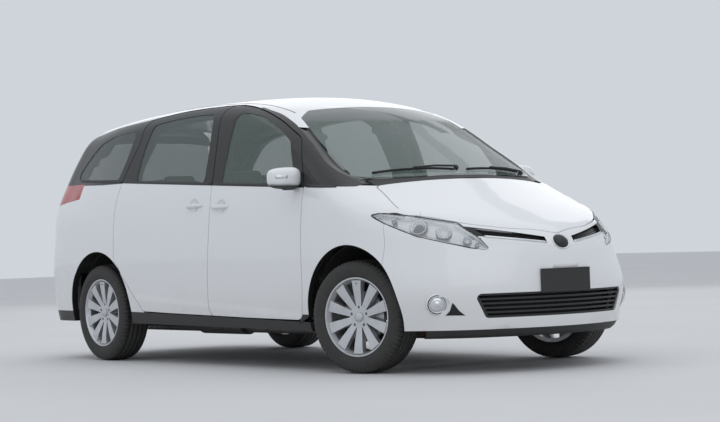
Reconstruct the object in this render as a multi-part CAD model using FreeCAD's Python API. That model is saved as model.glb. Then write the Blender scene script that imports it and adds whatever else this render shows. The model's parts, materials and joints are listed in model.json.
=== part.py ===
import FreeCAD, Part
import math
import os
from bisect import bisect_right

os.makedirs("parts", exist_ok=True)

# Driving dimensions of the whole vehicle, in millimetres.
# The frame has +X to the vehicle's left, +Y to its rear and +Z up, with the
# origin on the ground below the middle of the body.
front_overhang = 926.0
wheelbase = 2950.0
rear_overhang = 919.0
body_width = 1800.0
overall_height = 1750.0
wheel_track = 1544.0
panel_gap = 6.5
seat_gap = 0.3
weld_gap = 2.5
overrun = 200.0
trim_reach = 40.0

# Walls and skins, measured inwards from the outer surface of the body
door_edge_skew = 0.16
door_depth_low = 88.0
door_depth_high = 38.0
frame_clearance = 6.0
frame_wall = 48.0
facet_sag = 3.0
wing_depth = 36.0
bonnet_depth = 34.0
roof_depth = 38.0
bumper_depth = 46.0
tailgate_depth = 46.0
tail_lamp_depth = 34.0
cowl_recess = 8.0
cowl_depth = 60.0
glass_recess = 3.0
glass_thickness = 5.0
lens_thickness = 5.0
lamp_depth = 85.0
grille_slot_depth = 24.0
seam_corner = 10.0
lamp_corner = 12.0
bonnet_corner = 25.0
intake_corner = 26.0
tailgate_corner = 30.0
screen_corner = 40.0
tail_window_corner = 45.0
pillar_clearance = 1.0

# Wheels and steering
tyre_diameter = 668.0
tyre_width = 215.0
rim_diameter = 467.0
rim_width = 190.0
hub_radius = 66.0
spoke_count = 10
wheel_bolt_count = 5
bolt_circle_radius = 57.0
bolt_hole_radius = 9.0
arch_radius = 424.0
arch_floor_x = 470.0
liner_wall = 6.0
liner_low = 40.0
front_liner_inset = 85.0
rear_liner_inset = 120.0
steer_angle_parked = 16.0
kingpin_offset = 45.0

overall_length = front_overhang + wheelbase + rear_overhang
half_width = body_width / 2
half_length = overall_length / 2
nose_y = -half_length
front_axle_y = nose_y + front_overhang
rear_axle_y = front_axle_y + wheelbase
axle_z = tyre_diameter / 2
tyre_radius = tyre_diameter / 2
wheel_x = wheel_track / 2
kingpin_x = wheel_x - kingpin_offset


def vector(x, y, z):
    return FreeCAD.Vector(x, y, z)


def station(share):
    """Place along the vehicle: 0 nose, 1 front axle, 2 rear axle, 3 tail."""
    if share <= 1:
        return nose_y + share * front_overhang
    if share <= 2:
        return front_axle_y + (share - 1) * wheelbase
    return rear_axle_y + (share - 2) * rear_overhang


def height(share):
    return share * overall_height


class Curve:
    """Natural cubic spline through a short table of (place, value) pairs."""

    def __init__(self, pairs):
        self.at = [pair[0] for pair in pairs]
        self.value = [pair[1] for pair in pairs]
        self.step = [b - a for a, b in zip(self.at, self.at[1:])]
        self.bend = self.solve_bends()

    def solve_bends(self):
        count = len(self.at)
        value, step = self.value, self.step
        diagonal = [1.0] * count
        right = [0.0] * count
        bend = [0.0] * count
        for i in range(1, count - 1):
            slope_after = (value[i + 1] - value[i]) / step[i]
            slope_before = (value[i] - value[i - 1]) / step[i - 1]
            diagonal[i] = 2 * (step[i - 1] + step[i])
            right[i] = 6 * (slope_after - slope_before)
            if i > 1:
                factor = step[i - 1] / diagonal[i - 1]
                diagonal[i] -= factor * step[i - 1]
                right[i] -= factor * right[i - 1]
        for i in range(count - 2, 0, -1):
            bend[i] = (right[i] - step[i] * bend[i + 1]) / diagonal[i]
        return bend

    def __call__(self, place):
        at, value, step, bend = self.at, self.value, self.step, self.bend
        if place <= at[0]:
            slope = (value[1] - value[0]) / step[0] - step[0] * bend[1] / 6
            return value[0] + slope * (place - at[0])
        if place >= at[-1]:
            slope = (value[-1] - value[-2]) / step[-1] + step[-1] * bend[-2] / 6
            return value[-1] + slope * (place - at[-1])
        i = bisect_right(at, place) - 1
        before = (at[i + 1] - place) / step[i]
        after = 1 - before
        curved = (before ** 3 - before) * bend[i] + (after ** 3 - after) * bend[i + 1]
        return before * value[i] + after * value[i + 1] + curved * step[i] ** 2 / 6


def along(shares, size):
    return Curve([(station(place), share * size) for place, share in shares])


def upward(shares, size):
    return Curve([(height(place), share * size) for place, share in shares])


# The outer surface of the body. Tables along the vehicle start with a
# station, tables up the vehicle start with a share of the height.
top_centre_shares = (
    (0, 0.437), (0.045, 0.452), (0.213, 0.496), (0.428, 0.546), (0.644, 0.594),
    (0.838, 0.640), (1.024, 0.7017), (1.125, 0.7914), (1.193, 0.8514),
    (1.261, 0.911), (1.329, 0.953), (1.396, 0.978), (1.498, 0.9954), (1.6, 1.0),
    (1.735, 0.999), (1.871, 0.990), (2.021, 0.975), (2.457, 0.953),
    (2.676, 0.940), (3.0, 0.914),
)
crown_shares = (
    (0, 0.13), (0.43, 0.14), (0.84, 0.18), (1.02, 0.207), (1.19, 0.20),
    (1.33, 0.167), (1.5, 0.125), (2, 0.12), (3, 0.128),
)
side_section_shares = (
    (0.0857, 0.930), (0.137, 0.953), (0.171, 0.964), (0.229, 0.980),
    (0.297, 0.991), (0.371, 0.9965), (0.457, 0.9955), (0.543, 0.986), (0.6, 0.974),
    (0.651, 0.958), (0.714, 0.925), (0.8, 0.872), (0.886, 0.808),
    (0.943, 0.757), (1.0, 0.70),
)
low_taper_shares = (
    (0, 0.19), (0.25, 0.09), (0.5, 0.036), (0.75, 0.012), (1.0, 0.002),
    (1.3, 0), (2.0, 0), (2.25, 0.006), (2.5, 0.020), (2.75, 0.05), (3, 0.11),
)
high_taper_shares = (
    (0, 0.25), (0.5, 0.12), (1.02, 0.052), (1.2, 0.024), (1.4, 0.008),
    (1.6, 0), (1.9, 0.004), (2.1, 0.024), (2.3, 0.050), (2.5, 0.080), (3, 0.15),
)
nose_line_shares = (
    (0.10, -0.985), (0.143, -0.9945), (0.2, -0.999), (0.257, -1.0),
    (0.314, -1.0), (0.371, -0.9965), (0.42, -0.990), (0.457, -0.979),
    (0.514, -0.955), (0.6, -0.90),
)
nose_bow_shares = (
    (0.1, 0.48), (0.18, 0.47), (0.26, 0.42), (0.34, 0.49), (0.4, 0.56),
    (0.5, 0.55), (0.6, 0.5),
)
tail_line_shares = (
    (0.10, 0.978), (0.17, 0.992), (0.26, 1.0), (0.34, 1.0), (0.40, 0.997),
    (0.44, 0.989), (0.486, 0.982), (0.57, 0.981), (0.63, 0.979),
    (0.714, 0.970), (0.8, 0.934), (0.886, 0.884), (0.926, 0.858), (1.0, 0.813),
)
top_edge_shares = (
    (0, 0.09), (0.5, 0.13), (0.8, 0.13), (1.05, 0.085), (1.3, 0.09),
    (1.5, 0.11), (2, 0.11), (3, 0.11),
)
tail_bow_share = 0.12
nose_corner_share = 0.29
tail_corner_share = 0.16
taper_start_share = 0.55
taper_change_share = 0.2
slope_step_share = 0.011
blend_power = 2.3

top_centre = along(top_centre_shares, overall_height)
crown = along(crown_shares, half_width)
side_section = upward(side_section_shares, half_width)
low_taper = along(low_taper_shares, half_width)
high_taper = along(high_taper_shares, half_width)
nose_line = upward(nose_line_shares, half_length)
nose_bow = upward(nose_bow_shares, half_width)
tail_line = upward(tail_line_shares, half_length)
top_edge = along(top_edge_shares, half_width)
tail_bow = tail_bow_share * half_width
nose_corner = nose_corner_share * half_width
tail_corner = tail_corner_share * half_width
slope_step = slope_step_share * overall_height


def ease(share):
    """Smooth change from 0 to 1, flat at both ends."""
    inside = max(0.0, min(1.0, share))
    return inside * inside * (3 - 2 * inside)


def soft_min(first, second, corner):
    """Smaller of two depths, rounded where both are less than the corner."""
    a = corner - first
    b = corner - second
    if a <= 0 and b <= 0:
        return min(first, second)
    if a <= 0:
        return second
    if b <= 0:
        return first
    return corner - (a ** blend_power + b ** blend_power) ** (1 / blend_power)


def body_depth(x, y, z):
    """Depth of a point below the outer surface, less than zero outside."""
    aside = abs(x)
    share = aside / half_width
    upper = ease((z / overall_height - taper_start_share) / taper_change_share)
    taper = (1 - upper) * low_taper(y) + upper * high_taper(y)
    side = side_section(z) - taper - aside
    fall = crown(y)
    rise = (top_centre(y + slope_step) - top_centre(y - slope_step)) / (2 * slope_step)
    lean = 2 * fall * share / half_width
    top = (top_centre(y) - fall * share * share - z) / math.sqrt(1 + rise * rise + lean * lean)
    bow = nose_bow(z)
    sweep = 2 * bow * share / half_width
    front = (y - nose_line(z) - bow * share * share) / math.sqrt(1 + sweep * sweep)
    rear = tail_line(z) - tail_bow * share * share - y
    around = soft_min(side, front, nose_corner)
    around = soft_min(around, rear, tail_corner)
    return soft_min(around, top, top_edge(y))


# Panels are cut from skins: solids between two depths of the body
search_reach = half_length
search_steps = 60
search_error_share = 0.000005
sew_tolerance_share = 0.00001


def below_surface(start, way, wanted):
    """Point where a ray from inside the body reaches a wanted depth."""
    near, far = 0.0, search_reach

    def miss(distance):
        x, y, z = [s + w * distance for s, w in zip(start, way)]
        return body_depth(x, y, z) - wanted(z)

    near_miss, far_miss = miss(near), miss(far)
    for step in range(search_steps):
        if step % 3:
            distance = (near * far_miss - far * near_miss) / (far_miss - near_miss)
        else:
            distance = (near + far) / 2
        now = miss(distance)
        if abs(now) < search_error_share * half_width:
            break
        if now > 0:
            near, near_miss = distance, now
        else:
            far, far_miss = distance, now
    return vector(*[s + w * distance for s, w in zip(start, way)])


def spread(first, last, count):
    return [first + (last - first) * i / (count - 1) for i in range(count)]


def level(depth):
    return lambda z: depth


def skin(rays, across, along_it, outer, inner):
    """Solid between two depths, over a grid of rays."""
    sheets = []
    for depth in (outer, inner):
        rows = [[below_surface(*rays(u, v), depth) for v in along_it] for u in across]
        sheet = Part.BSplineSurface()
        sheet.interpolate(rows)
        sheets.append(sheet)
    first_u, last_u, first_v, last_v = sheets[0].bounds()
    faces = [sheet.toShape() for sheet in sheets]
    for u in (first_u, last_u):
        faces.append(Part.makeRuledSurface(*[sheet.uIso(u).toShape() for sheet in sheets]))
    for v in (first_v, last_v):
        faces.append(Part.makeRuledSurface(*[sheet.vIso(v).toShape() for sheet in sheets]))
    hull = Part.Compound(faces)
    hull.sewShape()
    solid = Part.Solid(Part.Shell(hull.Faces))
    if solid.Volume < 0:
        solid.reverse()
    return solid


def folded_skin(rays, across, along_it, outer, inner):
    """Solid of flat facets between two depths, for a frame that panels cover."""
    rows, columns = len(across), len(along_it)
    points = [below_surface(*rays(u, v), depth)
              for depth in (outer, inner) for u in across for v in along_it]
    far = rows * columns
    quads = []
    for row in range(rows - 1):
        for column in range(columns - 1):
            a = row * columns + column
            b, c, d = a + 1, a + 1 + columns, a + columns
            quads += [(a, b, c, d), (far + a, far + d, far + c, far + b)]
    edge = [column for column in range(columns)]
    edge += [row * columns + columns - 1 for row in range(1, rows)]
    edge += [(rows - 1) * columns + column for column in range(columns - 2, -1, -1)]
    edge += [row * columns for row in range(rows - 2, 0, -1)]
    quads += [(b, a, far + a, far + b) for a, b in zip(edge, edge[1:] + edge[:1])]
    facets = []
    for a, b, c, d in quads:
        facets += [(a, b, c), (a, c, d)]
    hull = Part.Shape()
    hull.makeShapeFromMesh((points, facets), sew_tolerance_share * half_width)
    solid = Part.Solid(Part.Shell(hull.Faces))
    if solid.Volume < 0:
        solid.reverse()
    return solid


ray_height = height(0.5)
nose_ray_y = station(1.0)
tail_ray_y = station(2.0)


def side_rays(y, angle):
    """Rays in a cross-section, from the middle of the body to its side."""
    return (0.0, y, ray_height), (math.cos(angle), 0.0, math.sin(angle))


def nose_rays(z, angle):
    """Level rays that fan out from the front axle."""
    return (0.0, nose_ray_y, z), (math.sin(angle), -math.cos(angle), 0.0)


def tail_rays(z, angle):
    """Level rays that fan out from the rear axle."""
    return (0.0, tail_ray_y, z), (math.sin(angle), math.cos(angle), 0.0)


def lamp_rays(tilt, angle):
    """Rays that fan out and up from the front axle."""
    flat = math.cos(tilt)
    way = (flat * math.sin(angle), -flat * math.cos(angle), math.sin(tilt))
    return (0.0, nose_ray_y, height(0.3)), way


def fan_rays(start, x, y, rise):
    """Ray from a point inside the body towards a place above it."""
    span = math.sqrt((x - start[0]) ** 2 + (y - start[1]) ** 2 + rise ** 2)
    way = ((x - start[0]) / span, (y - start[1]) / span, rise / span)
    return start, way


def rear_star_rays(tilt, angle):
    """Rays that fan out and up from a point above the rear axle."""
    flat = math.cos(tilt)
    way = (flat * math.sin(angle), flat * math.cos(angle), math.sin(tilt))
    return (0.0, tail_ray_y, height(0.8)), way


def tailgate_rays(tilt, angle):
    """Rays that fan out from the middle of the load space over the tailgate."""
    flat = math.cos(tilt)
    way = (flat * math.sin(angle), flat * math.cos(angle), math.sin(tilt))
    return (0.0, station(2.12), height(0.6)), way


def bonnet_rays(x, y):
    return fan_rays((0.0, station(1.055), height(0.17)), x, y, height(0.23))


def up_rays(x, y):
    return (x, y, height(0.3)), (0.0, 0.0, 1.0)


def side_skin(first_y, last_y, low_angle, high_angle, outer, inner, columns=14, rows=14):
    angles = spread(math.radians(low_angle), math.radians(high_angle), rows)
    return skin(side_rays, spread(first_y, last_y, columns), angles, outer, inner)


def nose_skin(low_z, high_z, first_angle, last_angle, outer, inner, rows=9, columns=17):
    angles = spread(math.radians(first_angle), math.radians(last_angle), columns)
    return skin(nose_rays, spread(low_z, high_z, rows), angles, outer, inner)


def tail_skin(low_z, high_z, first_angle, last_angle, outer, inner, rows=10, columns=15):
    angles = spread(math.radians(first_angle), math.radians(last_angle), columns)
    return skin(tail_rays, spread(low_z, high_z, rows), angles, outer, inner)


def rear_star_skin(low_tilt, high_tilt, first_angle, last_angle, outer, inner, rows, columns):
    tilts = spread(math.radians(low_tilt), math.radians(high_tilt), rows)
    angles = spread(math.radians(first_angle), math.radians(last_angle), columns)
    return skin(rear_star_rays, tilts, angles, outer, inner)


def mirrored(shape):
    return shape.mirror(vector(0, 0, 0), vector(1, 0, 0))


def both(shape):
    return [shape, mirrored(shape)]


def cut_all(shape, tools):
    for tool in tools:
        shape = shape.cut(tool)
    return shape


def fuse_all(shapes):
    whole = shapes[0]
    for shape in shapes[1:]:
        whole = whole.fuse(shape)
    return whole.removeSplitter()


def largest(shape):
    """The main solid of a cut, without slivers."""
    return max(shape.Solids, key=lambda solid: solid.Volume)


# Outlines in a plane, rounded at their corners and made into cutters
least_turn = math.radians(3)
gentle_turn = math.radians(25)
smooth_share = 0.45


def unit(a, b):
    span = math.hypot(b[0] - a[0], b[1] - a[1])
    return (b[0] - a[0]) / span, (b[1] - a[1]) / span, span


def rounded(points, radius, lift):
    """Closed wire through the points, each corner an arc that fits its sides."""
    count = len(points)
    corners = []
    for i, corner in enumerate(points):
        before, after = points[i - 1], points[(i + 1) % count]
        ax, ay, a_span = unit(corner, before)
        bx, by, b_span = unit(corner, after)
        between = math.acos(max(-1.0, min(1.0, ax * bx + ay * by)))
        if math.pi - between < least_turn or radius <= 0:
            corners.append((corner, corner, corner))
            continue
        reach = smooth_share * min(a_span, b_span)
        if math.pi - between > gentle_turn:
            reach = min(reach, radius / math.tan(between / 2))
        fit = reach * math.tan(between / 2)
        centre_distance = fit / math.sin(between / 2)
        mx, my, _ = unit((0.0, 0.0), (ax + bx, ay + by))
        start = (corner[0] + ax * reach, corner[1] + ay * reach)
        end = (corner[0] + bx * reach, corner[1] + by * reach)
        middle_distance = centre_distance - fit
        middle = (corner[0] + mx * middle_distance, corner[1] + my * middle_distance)
        corners.append((start, middle, end))
    edges = []
    for i in range(count):
        start, middle, end = corners[i]
        if start != end:
            edges.append(Part.Arc(lift(*start), lift(*middle), lift(*end)).toShape())
        following = corners[(i + 1) % count][0]
        edges.append(Part.makeLine(lift(*end), lift(*following)))
    return Part.Wire(edges)


def grown(points, gap):
    """The same outline with every side moved out by a gap."""
    count = len(points)
    area = sum(a[0] * b[1] - b[0] * a[1] for a, b in zip(points, points[1:] + points[:1]))
    turn = 1 if area > 0 else -1
    moved = []
    for i, corner in enumerate(points):
        before, after = points[i - 1], points[(i + 1) % count]
        ax, ay, _ = unit(before, corner)
        bx, by, _ = unit(corner, after)
        nx, ny = turn * (ay + by), -turn * (ax + bx)
        span = math.hypot(nx, ny)
        nx, ny = nx / span, ny / span
        facing = max(0.4, nx * turn * ay - ny * turn * ax)
        moved.append((corner[0] + nx * gap / facing, corner[1] + ny * gap / facing))
    return moved


def prism(wire, way):
    solid = Part.Face(wire).extrude(way)
    if solid.Volume < 0:
        solid.reverse()
    return solid


def side_cutter(points, radius=0.0, start=0.0, depth=None, skew=0.0):
    """Prism across the vehicle through an outline of (y, z) points."""
    reach = depth or half_width + overrun
    if skew:
        points = [(y + skew * (start - side_reach(y, z)), z) for y, z in points]
    wire = rounded(points, radius, lambda a, b: vector(start, a, b))
    return prism(wire, vector(reach, skew * reach, 0))


def side_reach(y, z):
    """Half width of the body at a place on its side."""
    return below_surface((0.0, y, min(z, height(0.95))), (1.0, 0.0, 0.0), level(0.0)).x


def front_cutter(points, radius=0.0, start=None, depth=None):
    """Prism along the vehicle through an outline of (x, z) points."""
    begin = nose_y - overrun if start is None else start
    wire = rounded(points, radius, lambda a, b: vector(a, begin, b))
    return prism(wire, vector(0, depth or front_overhang + overrun, 0))


def top_cutter(points, radius=0.0, start=0.0, depth=None):
    """Upright prism through an outline of (x, y) points."""
    wire = rounded(points, radius, lambda a, b: vector(a, b, start))
    return prism(wire, vector(0, 0, depth or overall_height + overrun))


def along_side(shares):
    """(y, z) points from a table of stations and height shares."""
    return [(station(t), height(h)) for t, h in shares]


def drum(radius, first, last, centre_y, centre_z):
    """Cylinder across the vehicle between two places."""
    start = vector(first, centre_y, centre_z)
    return Part.makeCylinder(radius, last - first, start, vector(1, 0, 0))


def bar(start, end, radius):
    way = end - start
    return Part.makeCylinder(radius, way.Length, start, way)


def block(low, high):
    size = high - low
    return Part.makeBox(size.x, size.y, size.z, low)


def rounded_block(low, high, radius):
    """Box with its upright edges rounded."""
    points = [(low.x, low.y), (high.x, low.y), (high.x, high.y), (low.x, high.y)]
    wire = rounded(points, radius, lambda a, b: vector(a, b, low.z))
    return prism(wire, vector(0, 0, high.z - low.z))


# Outlines of the side, as stations and height shares
front_door_shares = (
    (1.170, 0.178), (1.156, 0.300), (1.1545, 0.560), (1.157, 0.640),
    (1.188, 0.734), (1.221, 0.811), (1.301, 0.878), (1.372, 0.920),
    (1.440, 0.948), (1.500, 0.962), (1.549, 0.964), (1.519, 0.800),
    (1.503, 0.660), (1.503, 0.500), (1.513, 0.350), (1.522, 0.186),
)
sliding_door_shares = (
    (1.480, 0.184), (1.480, 0.960), (1.549, 0.9645), (1.640, 0.9655), (1.738, 0.962),
    (1.868, 0.944), (1.866, 0.850), (1.887, 0.772), (1.905, 0.690),
    (1.916, 0.600), (1.917, 0.400), (1.800, 0.200),
)
front_window_shares = (
    (1.194, 0.655), (1.246, 0.805), (1.312, 0.868), (1.385, 0.912),
    (1.440, 0.928), (1.480, 0.933), (1.473, 0.800), (1.470, 0.668),
)
sliding_window_shares = (
    (1.540, 0.672), (1.548, 0.800), (1.575, 0.938), (1.640, 0.941),
    (1.740, 0.936), (1.826, 0.922), (1.838, 0.800), (1.838, 0.697),
)
quarter_window_shares = (
    (1.925, 0.716), (1.905, 0.800), (1.898, 0.905), (2.020, 0.895),
    (2.240, 0.868), (2.420, 0.800), (2.560, 0.730),
)
pillar_window_shares = ((1.090, 0.662), (1.190, 0.775), (1.163, 0.715), (1.149, 0.662))
cabin_side_shares = (
    (1.105, 0.155), (1.105, 0.560), (1.060, 0.625), (1.125, 0.735),
    (1.193, 0.825), (1.270, 0.888), (1.345, 0.932), (1.430, 0.958),
    (1.549, 0.972), (1.738, 0.970), (1.940, 0.948), (2.240, 0.915),
    (2.520, 0.885), (2.640, 0.800), (2.700, 0.714), (2.700, 0.420),
    (2.300, 0.340), (1.900, 0.155),
)
quarter_shares = (
    (1.800, 0.150), (1.800, 0.480), (1.868, 0.650), (1.895, 0.700),
    (2.000, 0.700), (2.300, 0.704), (3.100, 0.712), (3.100, 0.415),
    (2.480, 0.400), (2.300, 0.330), (2.300, 0.150),
)
rear_pillar_shares = (
    (1.860, 0.7005), (1.860, 0.9470), (2.100, 0.9288), (2.300, 0.9133),
    (2.421, 0.9045), (2.421, 0.970), (3.100, 0.970), (3.100, 0.7122),
    (2.300, 0.7042), (2.000, 0.7002),
)
front_pillar_shares = (
    (1.010, 0.630), (1.110, 0.700), (1.195, 0.792), (1.262, 0.862),
    (1.330, 0.911), (1.420, 0.9475), (1.420, 0.920), (1.280, 0.820),
    (1.180, 0.6405), (1.100, 0.636),
)
wing_shares = (
    (0.700, 0.500), (0.670, 0.440), (0.680, 0.360), (1.180, 0.165),
    (1.200, 0.640), (1.000, 0.634), (0.700, 0.600),
)
sill_shares = ((1.120, 0.139), (1.120, 0.1695), (1.880, 0.198), (1.880, 0.152))
apron_shares = ((0.760, 0.460), (0.760, 0.505), (1.110, 0.590), (1.110, 0.535))

belt_z = height(0.64)
belt_change = height(0.15)


def door_depth(z):
    """Thickness of a door: thick below the belt line, thin round its window."""
    upper = ease((z - belt_z) / belt_change + 0.5)
    return (1 - upper) * door_depth_low + upper * door_depth_high


def frame_outer(z):
    return door_depth(z) + frame_clearance


def frame_behind(z):
    """Outer depth of the folded frame, clear of the panels over its facets."""
    return frame_outer(z) + facet_sag


def frame_inner(z):
    return door_depth(z) + frame_clearance + frame_wall


def beside_frame(z):
    return frame_outer(z) - weld_gap


def door_clearance():
    """What a panel beside the front door leaves free for it."""
    return side_cutter(grown(door_points, panel_gap), outline_corner, skew=door_edge_skew)


def arch_cutter(axle_y, radius):
    return drum(radius, arch_floor_x, half_width + overrun, axle_y, axle_z)


low_side_angle = -42
high_side_angle = 61
door_columns = 18
door_rows = 36

# Front doors, hinged near their front edge
door_points = along_side(front_door_shares)
slide_points = along_side(sliding_door_shares)
hinge_back = 60.0
hinge_inset = 12.0
hinge_y = station(1.1545) + hinge_back
hinge_x = half_width - hinge_inset
hinge_clear_radius = 61.0
upper_hinge_room = 56.0
door_window_points = along_side(front_window_shares)
window_corner = 42.0
outline_corner = 60.0


def door_front_relief():
    """Corner that a door leaves free so that it turns past the body."""
    ahead = block(
        vector(half_width / 2, hinge_y - hinge_back - overrun, 0),
        vector(hinge_x, hinge_y, belt_z),
    )
    turning = Part.makeCylinder(hinge_clear_radius, overall_height, vector(hinge_x, hinge_y, 0))
    return ahead.cut(turning)


def door_slab(points, first, last):
    """Whole door as thick as it is, with its rear edge leaning forward inside."""
    margin = overrun / 2
    slab = side_skin(first - margin, last + margin, low_side_angle, high_side_angle,
                     level(0.0), door_depth, door_columns, door_rows)
    return slab.common(side_cutter(points, outline_corner, skew=door_edge_skew))


front_door = door_slab(door_points, station(1.15), station(1.55)).cut(door_front_relief())
front_door = largest(front_door.cut(
    side_cutter(door_window_points, window_corner, skew=door_edge_skew)))


def window_glass(points, skew=0.0, columns=12, rows=18):
    """Pane set into a window opening, just below the outer surface."""
    places = [place for place, rise in points]
    margin = overrun / 4
    pane = side_skin(min(places) - margin, max(places) + margin, 12, high_side_angle,
                     level(glass_recess), level(glass_recess + glass_thickness), columns, rows)
    return largest(pane.common(side_cutter(grown(points, -seat_gap), window_corner, skew=skew)))


front_glass = window_glass(door_window_points, door_edge_skew)

# Sliding doors, which run back along the body and have no single hinge
slide_window_points = along_side(sliding_window_shares)
sliding_door = door_slab(slide_points, station(1.50), station(1.92))
sliding_door = cut_all(sliding_door, [
    door_clearance(),
    side_cutter(slide_window_points, window_corner, skew=door_edge_skew),
    arch_cutter(rear_axle_y, arch_radius + panel_gap),
])
slide_bottom = side_cutter(grown(along_side(sill_shares), panel_gap))
sliding_door = largest(sliding_door.cut(slide_bottom))
front_door = largest(front_door.cut(slide_bottom))
sliding_glass = window_glass(slide_window_points, door_edge_skew)

# Bonnet outline, seen from above, as shares of the half width and stations
bonnet_half_shares = (
    (0.313, 0.167), (0.479, 0.264), (0.592, 0.352), (0.808, 0.603),
    (0.787, 0.733), (0.740, 0.893), (0.720, 1.003), (0.500, 0.940),
    (0.250, 0.893), (0.020, 0.878),
)


def symmetric(points):
    """Full outline from the half with x above zero."""
    return points + [(-x, y) for x, y in reversed(points)]


bonnet_points = symmetric([
    (x * half_width, station(t)) for x, t in ((0.02, 0.086),) + bonnet_half_shares
])
bonnet = skin(
    bonnet_rays,
    spread(-0.58 * half_width, 0.58 * half_width, 17),
    spread(station(0.22), station(1.042), 15),
    level(0.0), level(bonnet_depth),
)
bonnet = largest(bonnet.common(top_cutter(bonnet_points, bonnet_corner)))
bonnet_clear = top_cutter(grown(bonnet_points, panel_gap), bonnet_corner, height(0.25))

# Headlamps: outline by station, width share and height share, seen along a
# direction halfway between the front and the side
lamp_shares = (
    (0.148, 0.490, 0.400), (0.203, 0.527, 0.441), (0.286, 0.574, 0.474),
    (0.354, 0.595, 0.498), (0.449, 0.694, 0.510), (0.608, 0.811, 0.527),
    (0.755, 0.893, 0.537), (0.819, 0.935, 0.531), (0.772, 0.930, 0.517),
    (0.632, 0.894, 0.486), (0.475, 0.825, 0.454), (0.318, 0.710, 0.429),
    (0.218, 0.599, 0.411),
)
corner_view = math.radians(45)


def corner_points(shares):
    """Points of an outline as seen from the corner of the vehicle."""
    points = []
    for t, x, z in shares:
        across = x * half_width * math.cos(corner_view) + station(t) * math.sin(corner_view)
        points.append((across, height(z)))
    return points


def corner_cutter(points, radius):
    """Prism through an outline seen from the front corner of the vehicle."""
    c, s = math.cos(corner_view), math.sin(corner_view)
    start = half_width / 2

    def lift(a, b):
        return vector(a * c + start * s, a * s - start * c, b)

    return prism(rounded(points, radius, lift), vector(s, -c, 0) * (2 * half_width))


lamp_points = corner_points(lamp_shares)


def headlamp_slab(outer, inner):
    tilts = spread(math.radians(2), math.radians(44), 9)
    angles = spread(math.radians(20), math.radians(84), 11)
    return skin(lamp_rays, tilts, angles, level(outer), level(inner))


lamp_prism = corner_cutter(grown(lamp_points, -seat_gap), lamp_corner)
lamp_clear = corner_cutter(grown(lamp_points, seat_gap), lamp_corner)
lamp_lens = largest(headlamp_slab(0.0, lens_thickness).common(lamp_prism))
lamp_housing = headlamp_slab(lens_thickness + seat_gap, lamp_depth).common(lamp_prism)
lamp_housing = largest(lamp_housing.cut(bonnet_clear))
lamp_lens = largest(lamp_lens.cut(bonnet_clear))

# Grille outline, seen from the front, as shares of half width and height
grille_half_shares = (
    (0.179, 0.408), (0.527, 0.438), (0.574, 0.474), (0.592, 0.505),
    (0.479, 0.510), (0.313, 0.500),
)
grille_points = symmetric([(x * half_width, height(z)) for x, z in grille_half_shares])
grille = nose_skin(height(0.38), height(0.52), -46, 46, level(0.0), level(bumper_depth))
grille = grille.common(front_cutter(grille_points, lamp_corner))
grille_slot_shares = (
    (0.115, 0.4215), (0.505, 0.4475), (0.535, 0.4740), (0.490, 0.4740), (0.115, 0.4400),
)
grille_slot = nose_skin(height(0.38), height(0.52), -46, 46, level(-trim_reach),
                        level(grille_slot_depth))
grille_slot = grille_slot.common(front_cutter(
    [(x * half_width, height(z)) for x, z in grille_slot_shares], lamp_corner / 2))
grille = largest(cut_all(grille, [
    bonnet_clear, lamp_clear, mirrored(lamp_clear), grille_slot, mirrored(grille_slot),
]))
grille_clear = front_cutter(grown(grille_points, seat_gap), lamp_corner)

# Front bumper, from the lip below to the lamps, round to both wheel arches
intake_half_shares = ((0.555, 0.182), (0.632, 0.262))
intake_points = symmetric([(x * half_width, height(z)) for x, z in intake_half_shares])
fog_lamp_x = 0.796 * half_width
fog_lamp_z = height(0.231)
fog_lamp_radius = 44.0
lip_z = height(0.145)
wing_points = along_side(wing_shares)
wing_seam = side_cutter(grown(wing_points, panel_gap / 2), seam_corner, 0.5 * half_width)
bumper = nose_skin(lip_z, height(0.50), -92, 92, level(0.0), level(bumper_depth), 12, 41)
bumper = cut_all(bumper, [
    bonnet_clear, lamp_clear, mirrored(lamp_clear), grille_clear,
    wing_seam, mirrored(wing_seam),
    arch_cutter(front_axle_y, arch_radius), mirrored(arch_cutter(front_axle_y, arch_radius)),
    front_cutter(intake_points, intake_corner),
    block(vector(-body_width, front_axle_y, 0), vector(body_width, 0, overall_height)),
])
fog_bore = Part.makeCylinder(
    fog_lamp_radius, front_overhang, vector(fog_lamp_x, nose_y - overrun, fog_lamp_z),
    vector(0, 1, 0),
)
bumper = largest(cut_all(bumper, [fog_bore, mirrored(fog_bore)]))

# Lower grille: a rim and level bars that fill the intake of the bumper
lower_grille_recess = 12.0
lower_grille_depth = 30.0
lower_grille_rim = 12.0
lower_bar_height = 11.0
lower_bar_count = 4


def intake_half(z):
    """Half width of the intake at a level."""
    (low_x, low_z), (high_x, high_z) = intake_points[:2]
    return low_x + (z - low_z) / (high_z - low_z) * (high_x - low_x)


def lower_grille_shape():
    plate = nose_skin(
        height(0.16), height(0.28), -42, 42, level(lower_grille_recess),
        level(lower_grille_recess + lower_grille_depth), 6, 13)
    plate = plate.common(front_cutter(grown(intake_points, -seat_gap), intake_corner))
    low_z = intake_points[0][1] + lower_grille_rim
    high_z = intake_points[1][1] - lower_grille_rim
    pitch = (high_z - low_z + lower_bar_height) / (lower_bar_count + 1)
    windows = []
    for i in range(lower_bar_count + 1):
        bottom = low_z + i * pitch
        top = bottom + pitch - lower_bar_height
        bottom_x = intake_half(bottom) - 2 * lower_grille_rim
        top_x = intake_half(top) - 2 * lower_grille_rim
        windows.append(front_cutter(
            [(-bottom_x, bottom), (bottom_x, bottom), (top_x, top), (-top_x, top)]))
    return largest(cut_all(plate, windows))


lower_grille = lower_grille_shape()

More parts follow.
